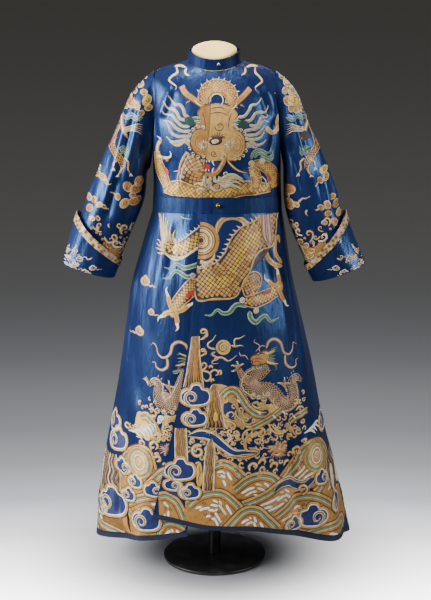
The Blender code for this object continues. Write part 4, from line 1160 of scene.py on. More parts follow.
def lay_thread(needle, name, panel, form, gaps):
    """Lays a needle's thread on one panel as one piece."""
    places, stitch, faces, kinds = cut(needle, gaps)
    a, b, c = (places[faces[:, k], :2] for k in range(3))
    area = (b - a)[:, 0] * (c - a)[:, 1] - (b - a)[:, 1] * (c - a)[:, 0]
    area *= form.turned
    faces[area < 0] = faces[area < 0][:, ::-1]
    faces, kinds = faces[np.abs(area) > 1e-4], kinds[np.abs(area) > 1e-4]
    used = np.unique(faces)
    new = np.full(len(places), -1)
    new[used] = np.arange(len(used))
    faces = new[faces]
    places, stitch = places[used], stitch[used]
    tree = SURFACES[panel][0]
    relief = bpy.context.scene.robe_thread.relief / (0.5 * MM)
    solid = []
    for along, up, height in places:
        place, normal = form.lay(tree, along, up)
        solid.append(place + normal * (height * relief * MM))
    mesh = bpy.data.meshes.new(name)
    mesh.from_pydata([tuple(p) for p in solid], [], faces.tolist())
    kept = sorted(set(kinds.tolist()))
    thread = bpy.context.scene.robe_thread
    for kind in kept:
        word = THREADS[kind]
        mesh.materials.append(material("thread_laid_" + word, laid_thread, getattr(thread, word),
                                       METAL_THREADS.get(word, 0.0)))
    mesh.polygons.foreach_set("material_index", [kept.index(k) for k in kinds])
    mesh.polygons.foreach_set("use_smooth", [True] * len(faces))
    layer = mesh.uv_layers.new(name="stitch")
    layer.data.foreach_set("uv", stitch[faces.ravel()].ravel())
    piece = new_object(name, mesh)
    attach(piece, BODY)
    THREAD_ON.setdefault(panel, []).append(piece)


# ---- motifs, each drawn in its own millimetres or in the units of its sheet ------------


def cloud(n, ground="navy", edge="gold", rim="cream", tail=True, level=2):
    """A lobed cloud head 44 mm wide with one inner curl and a trailing tail."""
    head = [(-21, -6), (-23, 4), (-15, 12), (-8, 13), (-4, 20), (6, 21), (11, 14), (19, 12),
            (23, 3), (19, -7), (8, -11), (-8, -12)]
    fine = 1 / max(1.0, n.size) ** 0.6
    if tail:
        trail = [(20, -6), (30, -12), (41, -6), (52, -11), (64, -7)]
        n.stack(trail, ((8.8, "umber"), (6.4, edge), (1.8, rim)), level - 1, (0.1, 0.6))
    n.line(head, 10 * fine, "umber", level - 1, (0, 0), closed=True)
    n.patch(head, ground, level)
    n.line(head, 6.4 * fine, edge, level + 1, (0, 0), closed=True)
    n.line([(x * (1 - 0.13 * fine), y * (1 - 0.13 * fine)) for x, y in head], 2.4 * fine, rim,
           level + 2, (0, 0), closed=True)
    curl = spiral((-6, 0), 10.5, 2.5, 250, -1.3)
    outer, core = (rim, "umber") if ground == "navy" else ("umber", rim)
    n.stack(curl, ((6.4 * fine, outer), (4.2 * fine, edge), (1.2 * fine, core)), level + 2,
            (0, 0.4))


def scroll(n, path, width, level=2, taper=(0.1, 0.25)):
    """A curling arm of spume: gold with a dark edge and a cream core."""
    n.stack(path, ((width * 1.45, "umber"), (width, "gold"), (width * 0.24, "cream")), level - 1,
            taper)


def curls(n, places, width, level=2):
    """Single curls of spume: centre, radius, where the curl starts in degrees and its way round."""
    for x, y, radius, start, way in places:
        scroll(n, spiral((x, y), radius, radius * 0.3, start, 0.95 * way), width, level,
               (0.15, 0.15))


def spume_field(n, left, right, top, bottom, step, width):
    """Rows of small curls of spume, set unevenly, which fill the water between larger shapes."""
    for row, y in enumerate(np.arange(top, bottom, step)):
        for x in np.arange(left + step / 2 * (row % 2), right, step * 1.12):
            if n.rng.random() < 0.8:
                spot = (x + n.rng.uniform(-10, 10), y + n.rng.uniform(-10, 10))
                curl = spiral(spot, n.rng.uniform(0.3, 0.42) * step, step * 0.1,
                              n.rng.uniform(0, 360), n.rng.choice((-1.0, 1.0)))
                scroll(n, curl, width, 1, (0.15, 0.15))


def hook(n, thread="gold", level=2):
    """A curl of spume 15 mm high."""
    path = [(0, 0), (5, 1), (11, 5), (13, 11), (9, 15.5), (4, 13.5), (4.5, 9.5), (8, 9)]
    n.stack(path, ((6.0, "umber"), (3.8, thread), (1.0, "cream")), level - 1, (0.1, 0.3))


def medallion(n, level):
    """A whorl of water 90 mm wide: gold, green and white rings round a curl."""
    n.disc((0, 0), 44, "gold", level)
    for radius, width, thread in ((44, 5, "ochre"), (38, 1.6, "bronze"), (34.5, 5, "green"),
                                  (30.5, 1.4, "cream"), (23, 1.4, "bronze"), (20, 3.4, "white"),
                                  (16.5, 1.2, "bronze")):
        n.ring((0, 0), radius, width, thread, level + 1)
    n.line(spiral((0, 0), 13, 2, 210, 1.6), 2.6, "ochre", level + 1, (0, 0.3))
    n.line(spiral((0, 0), 10, 2, 30, 1.6), 1.6, "white", level + 2, (0, 0.3))


def pearl(n, level=1):
    """A flaming pearl 40 mm wide."""
    n.disc((0, 0), 19, "gold", level)
    n.ring((0, 0), 18.5, 3.2, "yellow", level + 1)
    n.line(spiral((0, 0), 14, 1, 100, 2.2), 2.6, "umber", level + 1, (0, 0.2))
    n.line(spiral((0, 0), 11.5, 1, 280, 2.0), 1.8, "cream", level + 1, (0, 0.2))


def foot(n, fingers, pad, level, talon):
    """A clawed foot in sheet units: fingers are (turn, reach, bow) with a white talon each."""
    n.disc((0, 0), pad[1] * 1.2, "umber", level - 1)
    n.disc((0, 0), pad[1], pad[0], level)
    for turn, reach, bow in fingers:
        way, side = axes(math.radians(turn))
        joint = way * reach * 0.55 + side * bow * 0.9
        end = way * reach
        n.stack([(0, 0), tuple(joint), tuple(end)], ((56, "umber"), (42, pad[0]), (7, "bronze")),
                level - 1, (0, 0.15), 0.8)
        tip = end + way * reach * 0.52 - side * bow * 2.6
        mid = end + way * reach * 0.36 - side * bow * 0.3
        n.stack([tuple(end - way * 8), tuple(mid), tuple(tip)], ((44, "umber"), (30, talon)),
                level + 1, (0, 0.9), 0.08)


def ribbon(n, points, width, body, rim, core, level=1, taper=(0.05, 0.6)):
    """A streamer: a dark edge, a rim, a body over it and a core line."""
    n.stack(points, ((width * 1.45, "umber"), (width * 1.2, rim), (width * 0.8, body),
                     (width * 0.2, core)), level - 1, taper)


def strands(n, paths, width, threads, level=1, taper=(0.05, 0.55)):
    """Wavy hair: each lock has a dark edge and three lines of thread."""
    for k, path in enumerate(paths):
        n.line(path, width * 1.4, "umber", level - 1, taper)
        n.line(path, width, threads[0], level, taper)
        n.line(path, width * 0.36, threads[1 + k % (len(threads) - 1)], level + 1, taper,
               shift=width * 0.18)
        n.line(path, width * 0.2, "bronze", level + 1, taper, shift=-width * 0.22)


def rock(n, left, right, threads, level=2, lines=7):
    """A tall rock: upright bands of thread between its two sides, dark between them."""
    a, b = bend(left, 6 / 0.33), bend(right, 6 / 0.33)
    number = min(len(a), len(b))
    pick_a = a[np.linspace(0, len(a) - 1, number).astype(int)]
    pick_b = b[np.linspace(0, len(b) - 1, number).astype(int)]
    outline_ring = np.vstack([pick_a, pick_b[::-1]])
    n.patch(outline_ring, "umber", level, smooth=False)
    wave = np.sin(np.arange(number) * 1.1)[:, None] * np.array([[1.0, 0.0]])
    for k in range(lines):
        share = (k + 0.5) / lines
        width = np.linalg.norm(pick_a - pick_b, axis=1).mean() / lines
        middle = pick_a * (1 - share) + pick_b * share + wave * width * 0.3
        n.line(middle, width * 0.84, threads[k % len(threads)], level + 1, (0.15, 0.05), 0.4)
        n.line(middle, width * 0.14, "umber", level + 2, (0.15, 0.05), 0.4)
    for side in (pick_a, pick_b):
        n.line(side, 7, "cream", level + 1, (0, 0))


# Stripes across a crest of water, outside first: how far in, width and thread, in sheet units.
CREST = ((0, 7, "umber"), (12, 17, "gold"), (23, 5, "umber"), (32, 13, "green"),
         (40.5, 3.6, "cream"), (50, 14, "ochre"), (59, 5, "umber"))
# Rows of dashes under a crest: the first, the end and the step, in sheet units.
DASH_ROWS = (82, 330, 27)


def crest_band(n, path, level, size=1.0, taper=(0.05, 0.1), seen=None):
    """The stripes of one crest along a line; they lie to its right as it runs."""
    for inset, width, thread in CREST:
        n.line(path, width * size, thread, level, taper, 0.3, -inset * size, seen=seen)


def hill(n, crest, base, level, later):
    """One overlapping hill of the sea, from its crest down: bands, white dashes and curls.
    later are the outlines of the hills that lie over this one."""
    ring = np.vstack([bend(crest, 14), np.asarray(base, float)])
    n.patch(ring, "ochre", level, smooth=False)
    covers = [n.to(shape) for shape in later]
    edge = n.to(ring)
    line = n.to(bend(crest, 14))

    def seen(path):
        clear = np.ones(len(path), bool)
        for cover in covers:
            clear &= inside_gap(path, cover) < 0.4
        return clear

    crest_band(n, crest, level + 1, 1.0, (0, 0), seen)
    path = bend(crest, 8)
    inward = -sideways(path) * np.array([1, 1])
    if n.matrix[1, 1] < 0:
        inward = -inward
    for count, depth in enumerate(range(*DASH_ROWS)):
        row = path + inward * depth
        flat = n.to(row)
        below = along_line(flat, line)[0] > (depth - 5) * n.size
        free = (inside_gap(flat, edge) > 6) & seen(flat) & below
        free &= np.arange(len(row)) > 1
        start = 3 * (count % 2)
        while start < len(row) - 3:
            stop = start + n.rng.choice((8, 11, 15))
            if free[start:stop].all() and stop < len(row):
                dash = row[start:stop:2]
                dash = dash + inward[start:stop:2] * np.linspace(-8, 8, len(dash))[:, None]
                if n.rng.random() < 0.12:
                    curl = spiral(row[start + 2], 11, 3, n.rng.uniform(0, 360), 1.3)
                    n.line(curl, 5, "umber", level + 1, (0, 0.3))
                else:
                    n.line(dash, 22, "umber", level + 1, (0.12, 0.12), 0.4)
                    n.line(dash, 15.5, n.rng.choice(("white", "white", "cream")), level + 2,
                           (0.12, 0.12), 0.4)
                start = stop + 1
            else:
                start += 1


def flower(n, face, heart, level):
    """A small five-petalled flower 14 mm wide."""
    for k in range(5):
        a = math.radians(90 + 72 * k)
        n.disc((4.2 * math.cos(a), 4.2 * math.sin(a)), 3.1, face, level)
    n.disc((0, 0), 1.9, heart, level + 1)


# ---- skirt pattern -------------------------------------------------------------------

# Drawing sheets of the skirt: left edge and top in panel mm, and mm to a unit of the sheet.
TOP_SHEET = (-202.0, 1057.5, 0.302)
MID_SHEET = (-242.5, 741.6, 0.333)
HEM_SHEET = (-332.0, 450.0, 0.447)

# Arc length round the hem for each distance from the middle as seen from in front, in mm.
HEM_SPREAD = ([-345, -310, -283, -256, -230, -200, 0, 250, 286, 327, 345],
              [-520, -425, -360, -303, -258, -208, 0, 256, 315, 430, 500])


def on_sheet(n, sheet):
    """Coordinates right and down from the sheet's upper left corner."""
    n.at(*sheet, rise=-1)
    if sheet is HEM_SHEET:
        n.spread = HEM_SPREAD


def mark(n, sheet, x, y, size=1.0, turn=0.0, flip=1, rise=1.0):
    """A motif's own origin at a place on a sheet."""
    along = sheet[0] + sheet[2] * x
    if sheet is HEM_SHEET:
        along = float(np.interp(along, *HEM_SPREAD))
    n.at(along, sheet[1] - sheet[2] * y, size, turn, flip, rise)


def paw(n, sheet, x, y, size, fingers, pad, level, talon="white"):
    """A clawed foot at a place on a sheet, drawn right and down."""
    mark(n, sheet, x, y, size, rise=-1)
    foot(n, fingers, pad, level, talon)


def sea_clouds(n, places):
    """Navy cloud heads over the sea: x and y on the hem sheet, size, mirror and level."""
    for x, y, size, flip, level in places:
        mark(n, HEM_SHEET, x, y, size, 0, flip)
        cloud(n, "navy", "gold", "white", False, level)


def sky_clouds(n, places):
    """Gold clouds with tails, in panel millimetres: along, up, size and mirror."""
    for x, z, size, flip in places:
        n.at(x, z, size, 0, flip)
        cloud(n, "ochre", "gold", "cream", True, 1)


BODY_SCALES = ("yellow", "gold", "gold", "tan", "ochre", "gold")
LIMB_SCALES = ("yellow", "gold", "ochre", "pink")
FINE_SCALES = ("tan", "gold", "pink", "tan")
SMALL_PAW = 0.15  # mm to a sheet unit in the small dragons' feet


def great_dragon_over(n):
    """The great dragon's body, hind foot and tail disc on the upper front."""
    on_sheet(n, TOP_SHEET)
    # Disc beside the lap, rings round a centre on the lap line.
    centre = (512, 312)
    n.disc(centre, 164, "umber", 0)
    for radius, width, thread in ((146, 34, "ochre"), (126, 5, "umber"), (114, 16, "gold"),
                                  (103, 4, "umber"), (94, 12, "cream"), (80, 12, "gold"),
                                  (71, 4, "umber"), (58, 18, "gold"), (44, 7, "cream"),
                                  (28, 16, "ochre")):
        n.ring(centre, radius, width, thread, 1)
    n.stack([(500, 496), (560, 506), (616, 470), (634, 416)],
            ((44, "umber"), (34, "gold"), (8, "cream")), 1, (0, 0.4))
    # Tendrils over the back.
    for path in ([(650, 244), (664, 176), (710, 124), (780, 108), (850, 122), (900, 156),
                  (944, 206)], [(1012, 250), (1044, 196), (1052, 120), (1100, 74), (1160, 96)],
                 [(530, 82), (590, 70), (640, 98)]):
        n.stack(path, ((60, "umber"), (48, "tan"), (34, "gold"), (8, "bronze")), 0, (0.15, 0.2),
                0.3)
    # Body from the waist down to the lap.
    back = [(1052, 30), (1040, 130), (916, 180), (860, 206), (790, 278), (744, 368), (718, 422),
            (628, 512), (470, 570)]
    body = back + [(470, 826), (628, 820), (808, 812), (880, 710), (950, 584), (978, 512),
                   (1022, 440), (1094, 412), (1184, 386), (1238, 296), (1256, 200), (1240, 30)]
    n.spikes(back[1:], -6, 36, 44, "cream", 1)
    n.field(body, 44, BODY_SCALES, 1, 8)
    belly = [(1060, 40), (1064, 180), (1072, 280), (1120, 372), (1160, 376), (1190, 300),
             (1176, 180), (1140, 40)]
    n.patch(belly, "pink", 3)
    for k in range(6):
        share = k / 5
        n.line([(1066 + 68 * share, 50), (1070 + 92 * share, 180), (1078 + 96 * share, 280),
                (1124 + 40 * share, 366)], 6, ("bronze", "cream", "umber")[k % 3], 4, (0.1, 0.1))
    n.line(back[4:], 9, "tan", 3, (0.2, 0))
    n.line([(470, 836), (628, 830), (808, 816), (880, 716), (950, 592), (984, 518), (1030, 446),
            (1100, 420), (1190, 392)], 9, "tan", 3, (0, 0.1))
    n.line([(690, 700), (640, 650), (660, 590), (730, 570), (790, 600), (800, 660), (740, 690)], 9,
           "bronze", 3, (0.2, 0.2))
    n.line([(700, 660), (690, 620), (730, 604), (764, 630), (744, 656)], 8, "bronze", 3, (0.2, 0.2))
    n.line([(600, 720), (700, 730), (790, 690), (830, 600)], 9, "bronze", 3, (0.2, 0.2))
    # Thigh, lower leg and foot.
    thigh = [(900, 800), (880, 700), (940, 610), (1010, 600), (1062, 640), (1066, 700), (1030, 760),
             (960, 820)]
    n.field(thigh, 34, LIMB_SCALES, 2, -20)
    n.line([(900, 690), (950, 628), (1010, 622), (1044, 660), (1040, 716), (1004, 752)], 8, "tan",
           4, (0.1, 0.1))
    n.scaled([(900, 850), (990, 856), (1090, 836), (1226, 800)], (40, 62, 60, 46), 34, LIMB_SCALES,
             3)
    n.patch([(1080, 796), (1110, 780), (1170, 776), (1160, 800), (1100, 812)], "red", 5)
    for x, y in ((880, 842), (1006, 942)):
        n.disc((x, y), 34, "umber", 3)
        n.disc((x, y), 27, "cream", 4)
        n.ring((x, y), 15, 8, "pink", 5)
    paw(n, TOP_SHEET, 1256, 762, TOP_SHEET[2], ((-96, 118, 12), (-150, 128, -16), (66, 146, 14)),
        ("ochre", 52), 3)
    n.disc((0, -4), 15, "cream", 5)
    on_sheet(n, TOP_SHEET)
    # Streamers of flame and cloud.
    ribbon(n, [(930, 900), (870, 880), (815, 885), (760, 945), (700, 950), (655, 920), (600, 968),
               (540, 965)], 36, "green", "leaf", "pine", 1)
    ribbon(n, [(945, 940), (955, 1005), (1005, 1045), (1060, 1010), (1110, 1000), (1160, 1056),
               (1250, 1036)], 38, "green", "leaf", "pine", 1)
    for path in ([(1116, 420), (1146, 500), (1216, 560), (1320, 590)],
                 [(1320, 560), (1250, 500), (1216, 430), (1246, 340), (1290, 330), (1300, 380)]):
        n.stack(path, ((58, "umber"), (46, "tan"), (34, "gold"), (8, "bronze")), 0, (0.1, 0.25),
                0.3)


def great_dragon_under(n):
    """The great dragon's tail and forefoot on the under front."""
    on_sheet(n, TOP_SHEET)
    tail = [(560, 250), (470, 306), (370, 372), (270, 408), (196, 396), (150, 330)]
    n.spikes(tail[:-2], -74, 34, 42, "cream", 1)
    n.scaled(tail, (84, 76, 70, 66, 56, 26), 42, BODY_SCALES, 0)
    n.line([(540, 340), (440, 400), (345, 464), (250, 494), (174, 456), (126, 390)], 20, "cream", 2,
           (0, 0.3))
    n.line([(530, 168), (440, 232), (360, 296), (290, 340)], 10, "leaf", 2, (0, 0.3))
    hair = [
        [(150, 380), (112, 280), (96, 180), (84, 100), (60, 50)],
        [(160, 360), (124, 260), (116, 170), (100, 110)],
        [(175, 350), (140, 250), (138, 160), (150, 90)],
        [(185, 345), (156, 250), (160, 180), (168, 130)],
        [(200, 345), (176, 250), (180, 190), (196, 150)],
        [(220, 345), (205, 270), (212, 215), (228, 180)],
        [(245, 350), (236, 290), (250, 250), (262, 235)],
        [(150, 400), (110, 360), (80, 342), (54, 340)],
        [(160, 385), (118, 386), (88, 384), (48, 372)],
        [(165, 410), (126, 414), (90, 414), (46, 412)],
        [(175, 430), (140, 446), (110, 450), (70, 448)],
    ]
    strands(n, hair, 20, ("cream", "gold", "gold"), 2)
    n.scaled([(500, 660), (430, 720), (350, 800), (280, 880), (250, 950)], (62, 70, 64, 54, 44), 34,
             LIMB_SCALES, 1)
    n.patch([(365, 800), (400, 760), (450, 740), (455, 770), (420, 805), (385, 822)], "red", 3)
    n.disc((428, 622), 26, "pink", 2)
    n.ring((428, 622), 17, 6, "cream", 3)
    paw(n, TOP_SHEET, 252, 955, TOP_SHEET[2],
        ((-112, 150, -12), (-26, 150, 14), (74, 110, -12), (158, 120, 14)), ("gold", 48), 3)
    on_sheet(n, TOP_SHEET)
    ribbon(n, [(500, 515), (430, 538), (350, 555), (275, 530), (210, 578), (150, 568)], 34, "green",
           "leaf", "pine", 1)
    ribbon(n, [(450, 612), (380, 634), (320, 606), (262, 592), (200, 660), (140, 664)], 32, "green",
           "leaf", "pine", 1)
    n.line([(205, 60), (290, 62), (318, 110), (350, 128), (420, 130)], 15, "leaf", 1, (0.2, 0.6))


def small_dragon(n, right):
    """One of the two small dragons over the sea, in the units of the middle sheet."""
    if right:
        body = [(1150, 372), (1075, 415), (1000, 440), (975, 500), (1040, 552), (1150, 566),
                (1215, 628), (1262, 692), (1330, 716), (1388, 670), (1388, 590), (1372, 532),
                (1420, 500), (1486, 540)]
        halves = (34, 50, 70, 74, 66, 56, 56, 60, 60, 52, 46, 42, 30, 8)
    else:
        body = [(448, 380), (432, 460), (402, 560), (345, 655), (262, 690), (214, 620), (214, 535),
                (168, 500), (118, 548)]
        halves = (34, 52, 64, 66, 64, 54, 44, 32, 8)
    n.spikes(body[2:-1], 56 if right else -52, 20, 24, "tan", 1)
    n.loose = 0.82
    n.scaled(body, halves, 21, FINE_SCALES, 1, rim="tan")
    n.loose = 0.9
    path = bend(body, 12)
    half = np.interp(np.linspace(0, 1, len(path)), np.linspace(0, 1, len(halves)), halves)
    n.line(path + sideways(path) * (half * 0.8)[:, None], 6, "cream", 3, (0.1, 0.3))


def sea_dragons_over(n):
    """Pearl, right dragon, rocks and crests on the upper front."""
    mark(n, MID_SHEET, 765, 190)
    pearl(n)
    on_sheet(n, MID_SHEET)
    flames = (
        [(704, 205), (650, 190), (640, 160), (680, 130), (690, 110), (706, 88)],
        [(700, 225), (668, 246), (720, 280), (676, 300), (674, 322), (722, 322)],
        [(826, 176), (862, 186), (900, 180), (930, 188)],
        [(858, 184), (856, 130), (900, 122), (944, 98)],
        [(690, 282), (750, 272), (800, 300), (832, 290), (876, 256)],
    )
    strands(n, flames, 16, ("gold", "cream", "cream"), 1)
    small_dragon(n, True)
    # Head, mane, horns and whiskers.
    mane = [[(1130, 296), (1176 + 8 * k, 240 + 26 * k),
             (1226 - 4 * k, 226 + 30 * k)] for k in range(7)]
    strands(n, mane, 18, ("pine", "green", "leaf"), 2)
    head = [(1150, 262), (1116, 240), (1080, 246), (1056, 268), (1020, 262), (992, 276), (984, 302),
            (1010, 318), (996, 336), (1030, 352), (1080, 350), (1120, 344), (1150, 322)]
    n.line(head, 12, "umber", 3, (0, 0), closed=True)
    n.patch(head, "ochre", 3)
    n.line([(1006, 322), (1040, 316), (1080, 326)], 12, "red", 4, (0.2, 0.2))
    n.line([(1000, 300), (1040, 296), (1074, 300), (1110, 318)], 6, "umber", 4, (0.1, 0.2))
    n.line([(1064, 262), (1092, 256), (1120, 268)], 8, "pine", 4, (0.2, 0.2))
    n.disc((1086, 280), 11, "white", 4)
    n.disc((1084, 280), 5, "umber", 5)
    n.line(spiral((1016, 286), 15, 4, 0, 1.2), 6, "pink", 4, (0, 0.2))
    for k in range(5):
        n.line([(1020 + 22 * k, 348), (1016 + 22 * k, 366), (1024 + 22 * k, 384)], 7, "leaf", 3,
               (0.1, 0.6))
    n.line([(1070, 250), (1060, 216), (1084, 196), (1120, 206)], 9, "pink", 4)
    n.line([(1110, 262), (1150, 262), (1210, 240)], 19, "yellow", 4, (0.1, 0.7))
    n.line([(1128, 330), (1180, 352), (1240, 362)], 19, "yellow", 4, (0.1, 0.7))
    n.line([(1030, 240), (1066, 200), (1040, 172), (1016, 160), (1022, 132)], 9, "pink", 4)
    n.line([(970, 300), (940, 262), (905, 262), (892, 228)], 9, "pink", 4)
    strands(n, [[(1000 + 30 * k, 352), (1004 + 30 * k, 380),
                 (1020 + 34 * k, 392)] for k in range(4)], 12, ("green", "leaf", "pine"), 3)
    ribbon(n, [(1128, 225), (1150, 170), (1205, 156), (1262, 196), (1292, 274), (1352, 300),
               (1392, 262), (1400, 212), (1440, 236)], 24, "tan", "bronze", "cream", 1)
    ribbon(n, [(1306, 300), (1312, 366), (1362, 412), (1420, 404), (1424, 360), (1450, 350)], 22,
           "tan", "bronze", "cream", 1)
    n.scaled([(985, 470), (930, 440), (890, 372)], (34, 26, 18), 19, FINE_SCALES, 2)
    for x, y, fingers, width, level in (
            (884, 360, ((-150, 90, 12), (-95, 84, 12), (-40, 84, -12), (150, 90, -12)), 26, 3),
            (1292, 545, ((-150, 100, 12), (-80, 96, 12), (-10, 96, -12), (60, 90, -12)), 30, 4),
            (1110, 640, ((-160, 100, 12), (-100, 96, 12), (-40, 96, -12), (100, 90, -12)), 30, 3)):
        paw(n, MID_SHEET, x, y, SMALL_PAW, fingers, ("tan", width), level, "cream")
    on_sheet(n, MID_SHEET)
    # Tall rock at the lap, with spume along it.
    rock(n, [(440, 520), (458, 440), (490, 250), (512, 105)],
         [(606, 520), (592, 400), (574, 250), (570, 100)],
         ("gold", "tan", "ochre", "gold", "tan", "ochre", "gold"), 3, 7)
    n.patch([(520, 400), (530, 300), (550, 280), (560, 330), (556, 420), (538, 460)], "ochre", 6)
    # Gold of the second rock and of the crest beside it.
    n.patch([(596, 850), (610, 780), (640, 700), (646, 580), (672, 500), (700, 492), (740, 560),
             (790, 520), (850, 500), (910, 540), (960, 620), (1010, 690), (1100, 712), (1180, 690),
             (1250, 716), (1210, 770), (1110, 826), (1010, 850), (900, 846), (850, 810), (790, 856),
             (700, 846)], "gold", 2)
    for hole in ([(775, 650), (820, 640), (860, 680), (880, 740), (850, 780), (800, 760),
                  (770, 720)], [(890, 640), (930, 640), (960, 690), (940, 730), (900, 700)],
                 [(1080, 740), (1130, 726), (1150, 750), (1100, 780), (1060, 790)],
                 [(960, 770), (1000, 780), (990, 816), (950, 810)],
                 [(640, 760), (660, 730), (670, 770), (650, 800)]):
        n.patch(hole, "navy", 3)
        n.line(hole, 6, "umber", 4, (0, 0), closed=True)
    rock(n, [(620, 850), (640, 700), (648, 560), (672, 500)],
         [(780, 850), (752, 700), (732, 580), (700, 492)],
         ("gold", "ochre", "gold", "ochre", "tan"), 3, 5)
    n.patch([(682, 780), (694, 720), (716, 730), (718, 780), (700, 800)], "yellow", 6)
    for x, y, size, turn, flip in ((575, 128, 1.7, 10, 1), (570, 262, 1.3, 0, 1),
                                   (578, 376, 1.3, 0, 1)):
        mark(n, MID_SHEET, x, y, size, turn, flip)
        hook(n)
    on_sheet(n, MID_SHEET)
    for path in MID_ARMS:
        scroll(n, path, 16, 4)
    for x, y, r, spin in ((1012, 592, 30, 1), (1104, 640, 26, -1), (1060, 610, 20, 1),
                          (1140, 600, 18, -1)):
        scroll(n, spiral((x, y), r, 6, 40, 1.5 * spin), 12, 2, (0, 0.3))
    spume_field(n, 600, 1180, 630, 990, 56, 13)
    spume_field(n, 1180, 1520, 700, 990, 56, 13)
    curls(n, MID_CURLS, 15, 4)
    # Crests of the sea.
    crest_band(n, [(728, 570), (776, 520), (840, 500), (900, 536), (950, 610), (1000, 680),
                   (1066, 726), (1130, 734)], 5, 1.1)
    crest_band(n, [(990, 836), (1080, 806), (1170, 766), (1270, 712)], 5)
    crest_band(n, [(1330, 830), (1400, 790), (1470, 766), (1540, 760)], 5)
    for x, y in ((890, 630), (1065, 745), (1200, 790), (1390, 820), (1290, 770)):
        n.line([(x - 18, y - 14), (x, y), (x + 14, y + 18)], 13, "white", 7, (0.3, 0.3))
    for x, y, size, level in ((538, 606, 1.85, 5), (532, 786, 1.5, 5)):
        mark(n, MID_SHEET, x, y, size)
        cloud(n, "navy", "gold", "white", False, level)
    # The great cloud streamer below the rocks.
    on_sheet(n, HEM_SHEET)
    drift = [(566, 34), (640, 22), (704, 40), (762, 88), (830, 132), (900, 136), (972, 142)]
    n.stack(drift, ((78, "umber"), (70, "gold"), (48, "white"), (38, "navy")), 2, (0.15, 0.55),
            0.15)
    n.stack([(920, 108), (985, 138), (900, 168), (830, 156), (768, 150), (730, 104)],
            ((22, "gold"), (5, "umber")), 4, (0.1, 0.4))
    n.line([(905, 130), (900, 70), (930, 30), (990, 30), (1010, 0), (985, -20)], 20, "gold", 4,
           (0.1, 0.2))
    n.line([(1080, 0), (1110, 30), (1170, 40), (1190, 10), (1230, 70)], 18, "gold", 4, (0.1, 0.2))
    n.stack(spiral((620, 130), 42, 8, 300, -1.4), ((20, "gold"), (5, "white")), 4, (0, 0.2))
    # A small red dragon's head among flames.
    rng = random.Random(31)
    for k in range(26):
        a = math.radians(k * 360 / 26)
        reach = rng.uniform(62, 92)
        n.line([(1120 + 20 * math.cos(a), 148 + 18 * math.sin(a)),
                (1120 + reach * 0.6 * math.cos(a + 0.2), 148 + reach * 0.5 * math.sin(a + 0.2)),
                (1120 + reach * math.cos(a), 148 + reach * 0.8 * math.sin(a))], 9,
               ("gold", "tan", "bronze", "ochre", "pink")[k % 5], 2, (0, 0.6))
    n.disc((1112, 156), 30, "ochre", 3)
    n.disc((1098, 168), 13, "red", 4)
    n.disc((1122, 142), 8, "white", 4)
    n.line([(1086, 168), (1108, 176), (1130, 168)], 8, "white", 4)
    n.line([(1060, 180), (1020, 186), (1016, 170), (990, 186)], 8, "pink", 3)
    n.line([(1060, 130), (1020, 120), (1000, 90), (984, 100)], 7, "pink", 3)
    n.line([(1080, 100), (1076, 66), (1060, 50), (1070, 26)], 7, "pink", 3)


def sea_dragons_under(n):
    """The left small dragon and the rocks beside it, on the under front."""
    on_sheet(n, MID_SHEET)
    small_dragon(n, False)
    mane = [[(480, 300), (420 - 10 * k, 262 + 28 * k),
             (372 + 4 * k, 262 + 30 * k)] for k in range(5)]
    strands(n, mane, 16, ("pine", "green", "leaf"), 2)
    n.line([(482, 284), (440, 270), (388, 248)], 19, "yellow", 3, (0.1, 0.7))
    n.line([(478, 330), (420, 342), (358, 356)], 19, "yellow", 3, (0.1, 0.7))
    ribbon(n, [(470, 236), (446, 180), (390, 158), (338, 190), (316, 262), (262, 300), (210, 276),
               (190, 214), (158, 190), (134, 226)], 24, "tan", "bronze", "cream", 1)
    ribbon(n, [(290, 300), (292, 366), (244, 402), (190, 384), (182, 348), (148, 350)], 22, "tan",
           "bronze", "cream", 1)
    strands(n, [[(116, 548), (108 - 6 * k, 510), (92 - 12 * k, 470 + 10 * k)] for k in range(4)],
            12, ("gold", "cream", "cream"), 2)
    for x, y, fingers in ((296, 540, ((-150, 96, 12), (-80, 92, 12), (-10, 92, -12),
                                      (60, 90, -12))), (300, 600, ((150, 90, 12), (200, 90, 12)))):
        paw(n, MID_SHEET, x, y, SMALL_PAW, fingers, ("tan", 30), 3, "cream")
    on_sheet(n, MID_SHEET)
    strands(n, [[(410, 380), (370, 396 + 10 * k), (336, 400 + 8 * k)] for k in range(3)], 12,
            ("green", "leaf", "pine"), 2)
    rock(n, [(372, 975), (380, 860), (400, 720)], [(476, 975), (466, 860), (440, 720)],
         ("gold", "tan", "ochre", "gold"), 3, 4)
    n.patch([(236, 812), (270, 770), (330, 776), (392, 760), (400, 830), (360, 800), (300, 830),
             (262, 860)], "gold", 2)
    for path in UNDER_ARMS:
        scroll(n, path, 16, 4)
    spume_field(n, 110, 440, 690, 990, 56, 13)
    curls(n, UNDER_CURLS, 14, 3)
    n.patch([(0, 800), (60, 770), (120, 768), (180, 830), (240, 900), (270, 975), (0, 975)], "gold",
            1)
    crest_band(n, [(30, 780), (100, 764), (160, 800), (210, 860), (250, 940)], 2, 1.2)
    for k in range(5):
        n.stack([(24 + 30 * k, 900 - 12 * k), (64 + 28 * k, 910 - 12 * k),
                 (90 + 28 * k, 960 - 10 * k)], ((19, "umber"), (13, "white")), 2, (0.3, 0.3))
    n.patch([(206, 812), (214, 782), (246, 776), (262, 800), (240, 836), (212, 846)], "white", 5)
    n.line(spiral((236, 808), 20, 5, 20, 1.3), 5, "umber", 6, (0, 0.3))


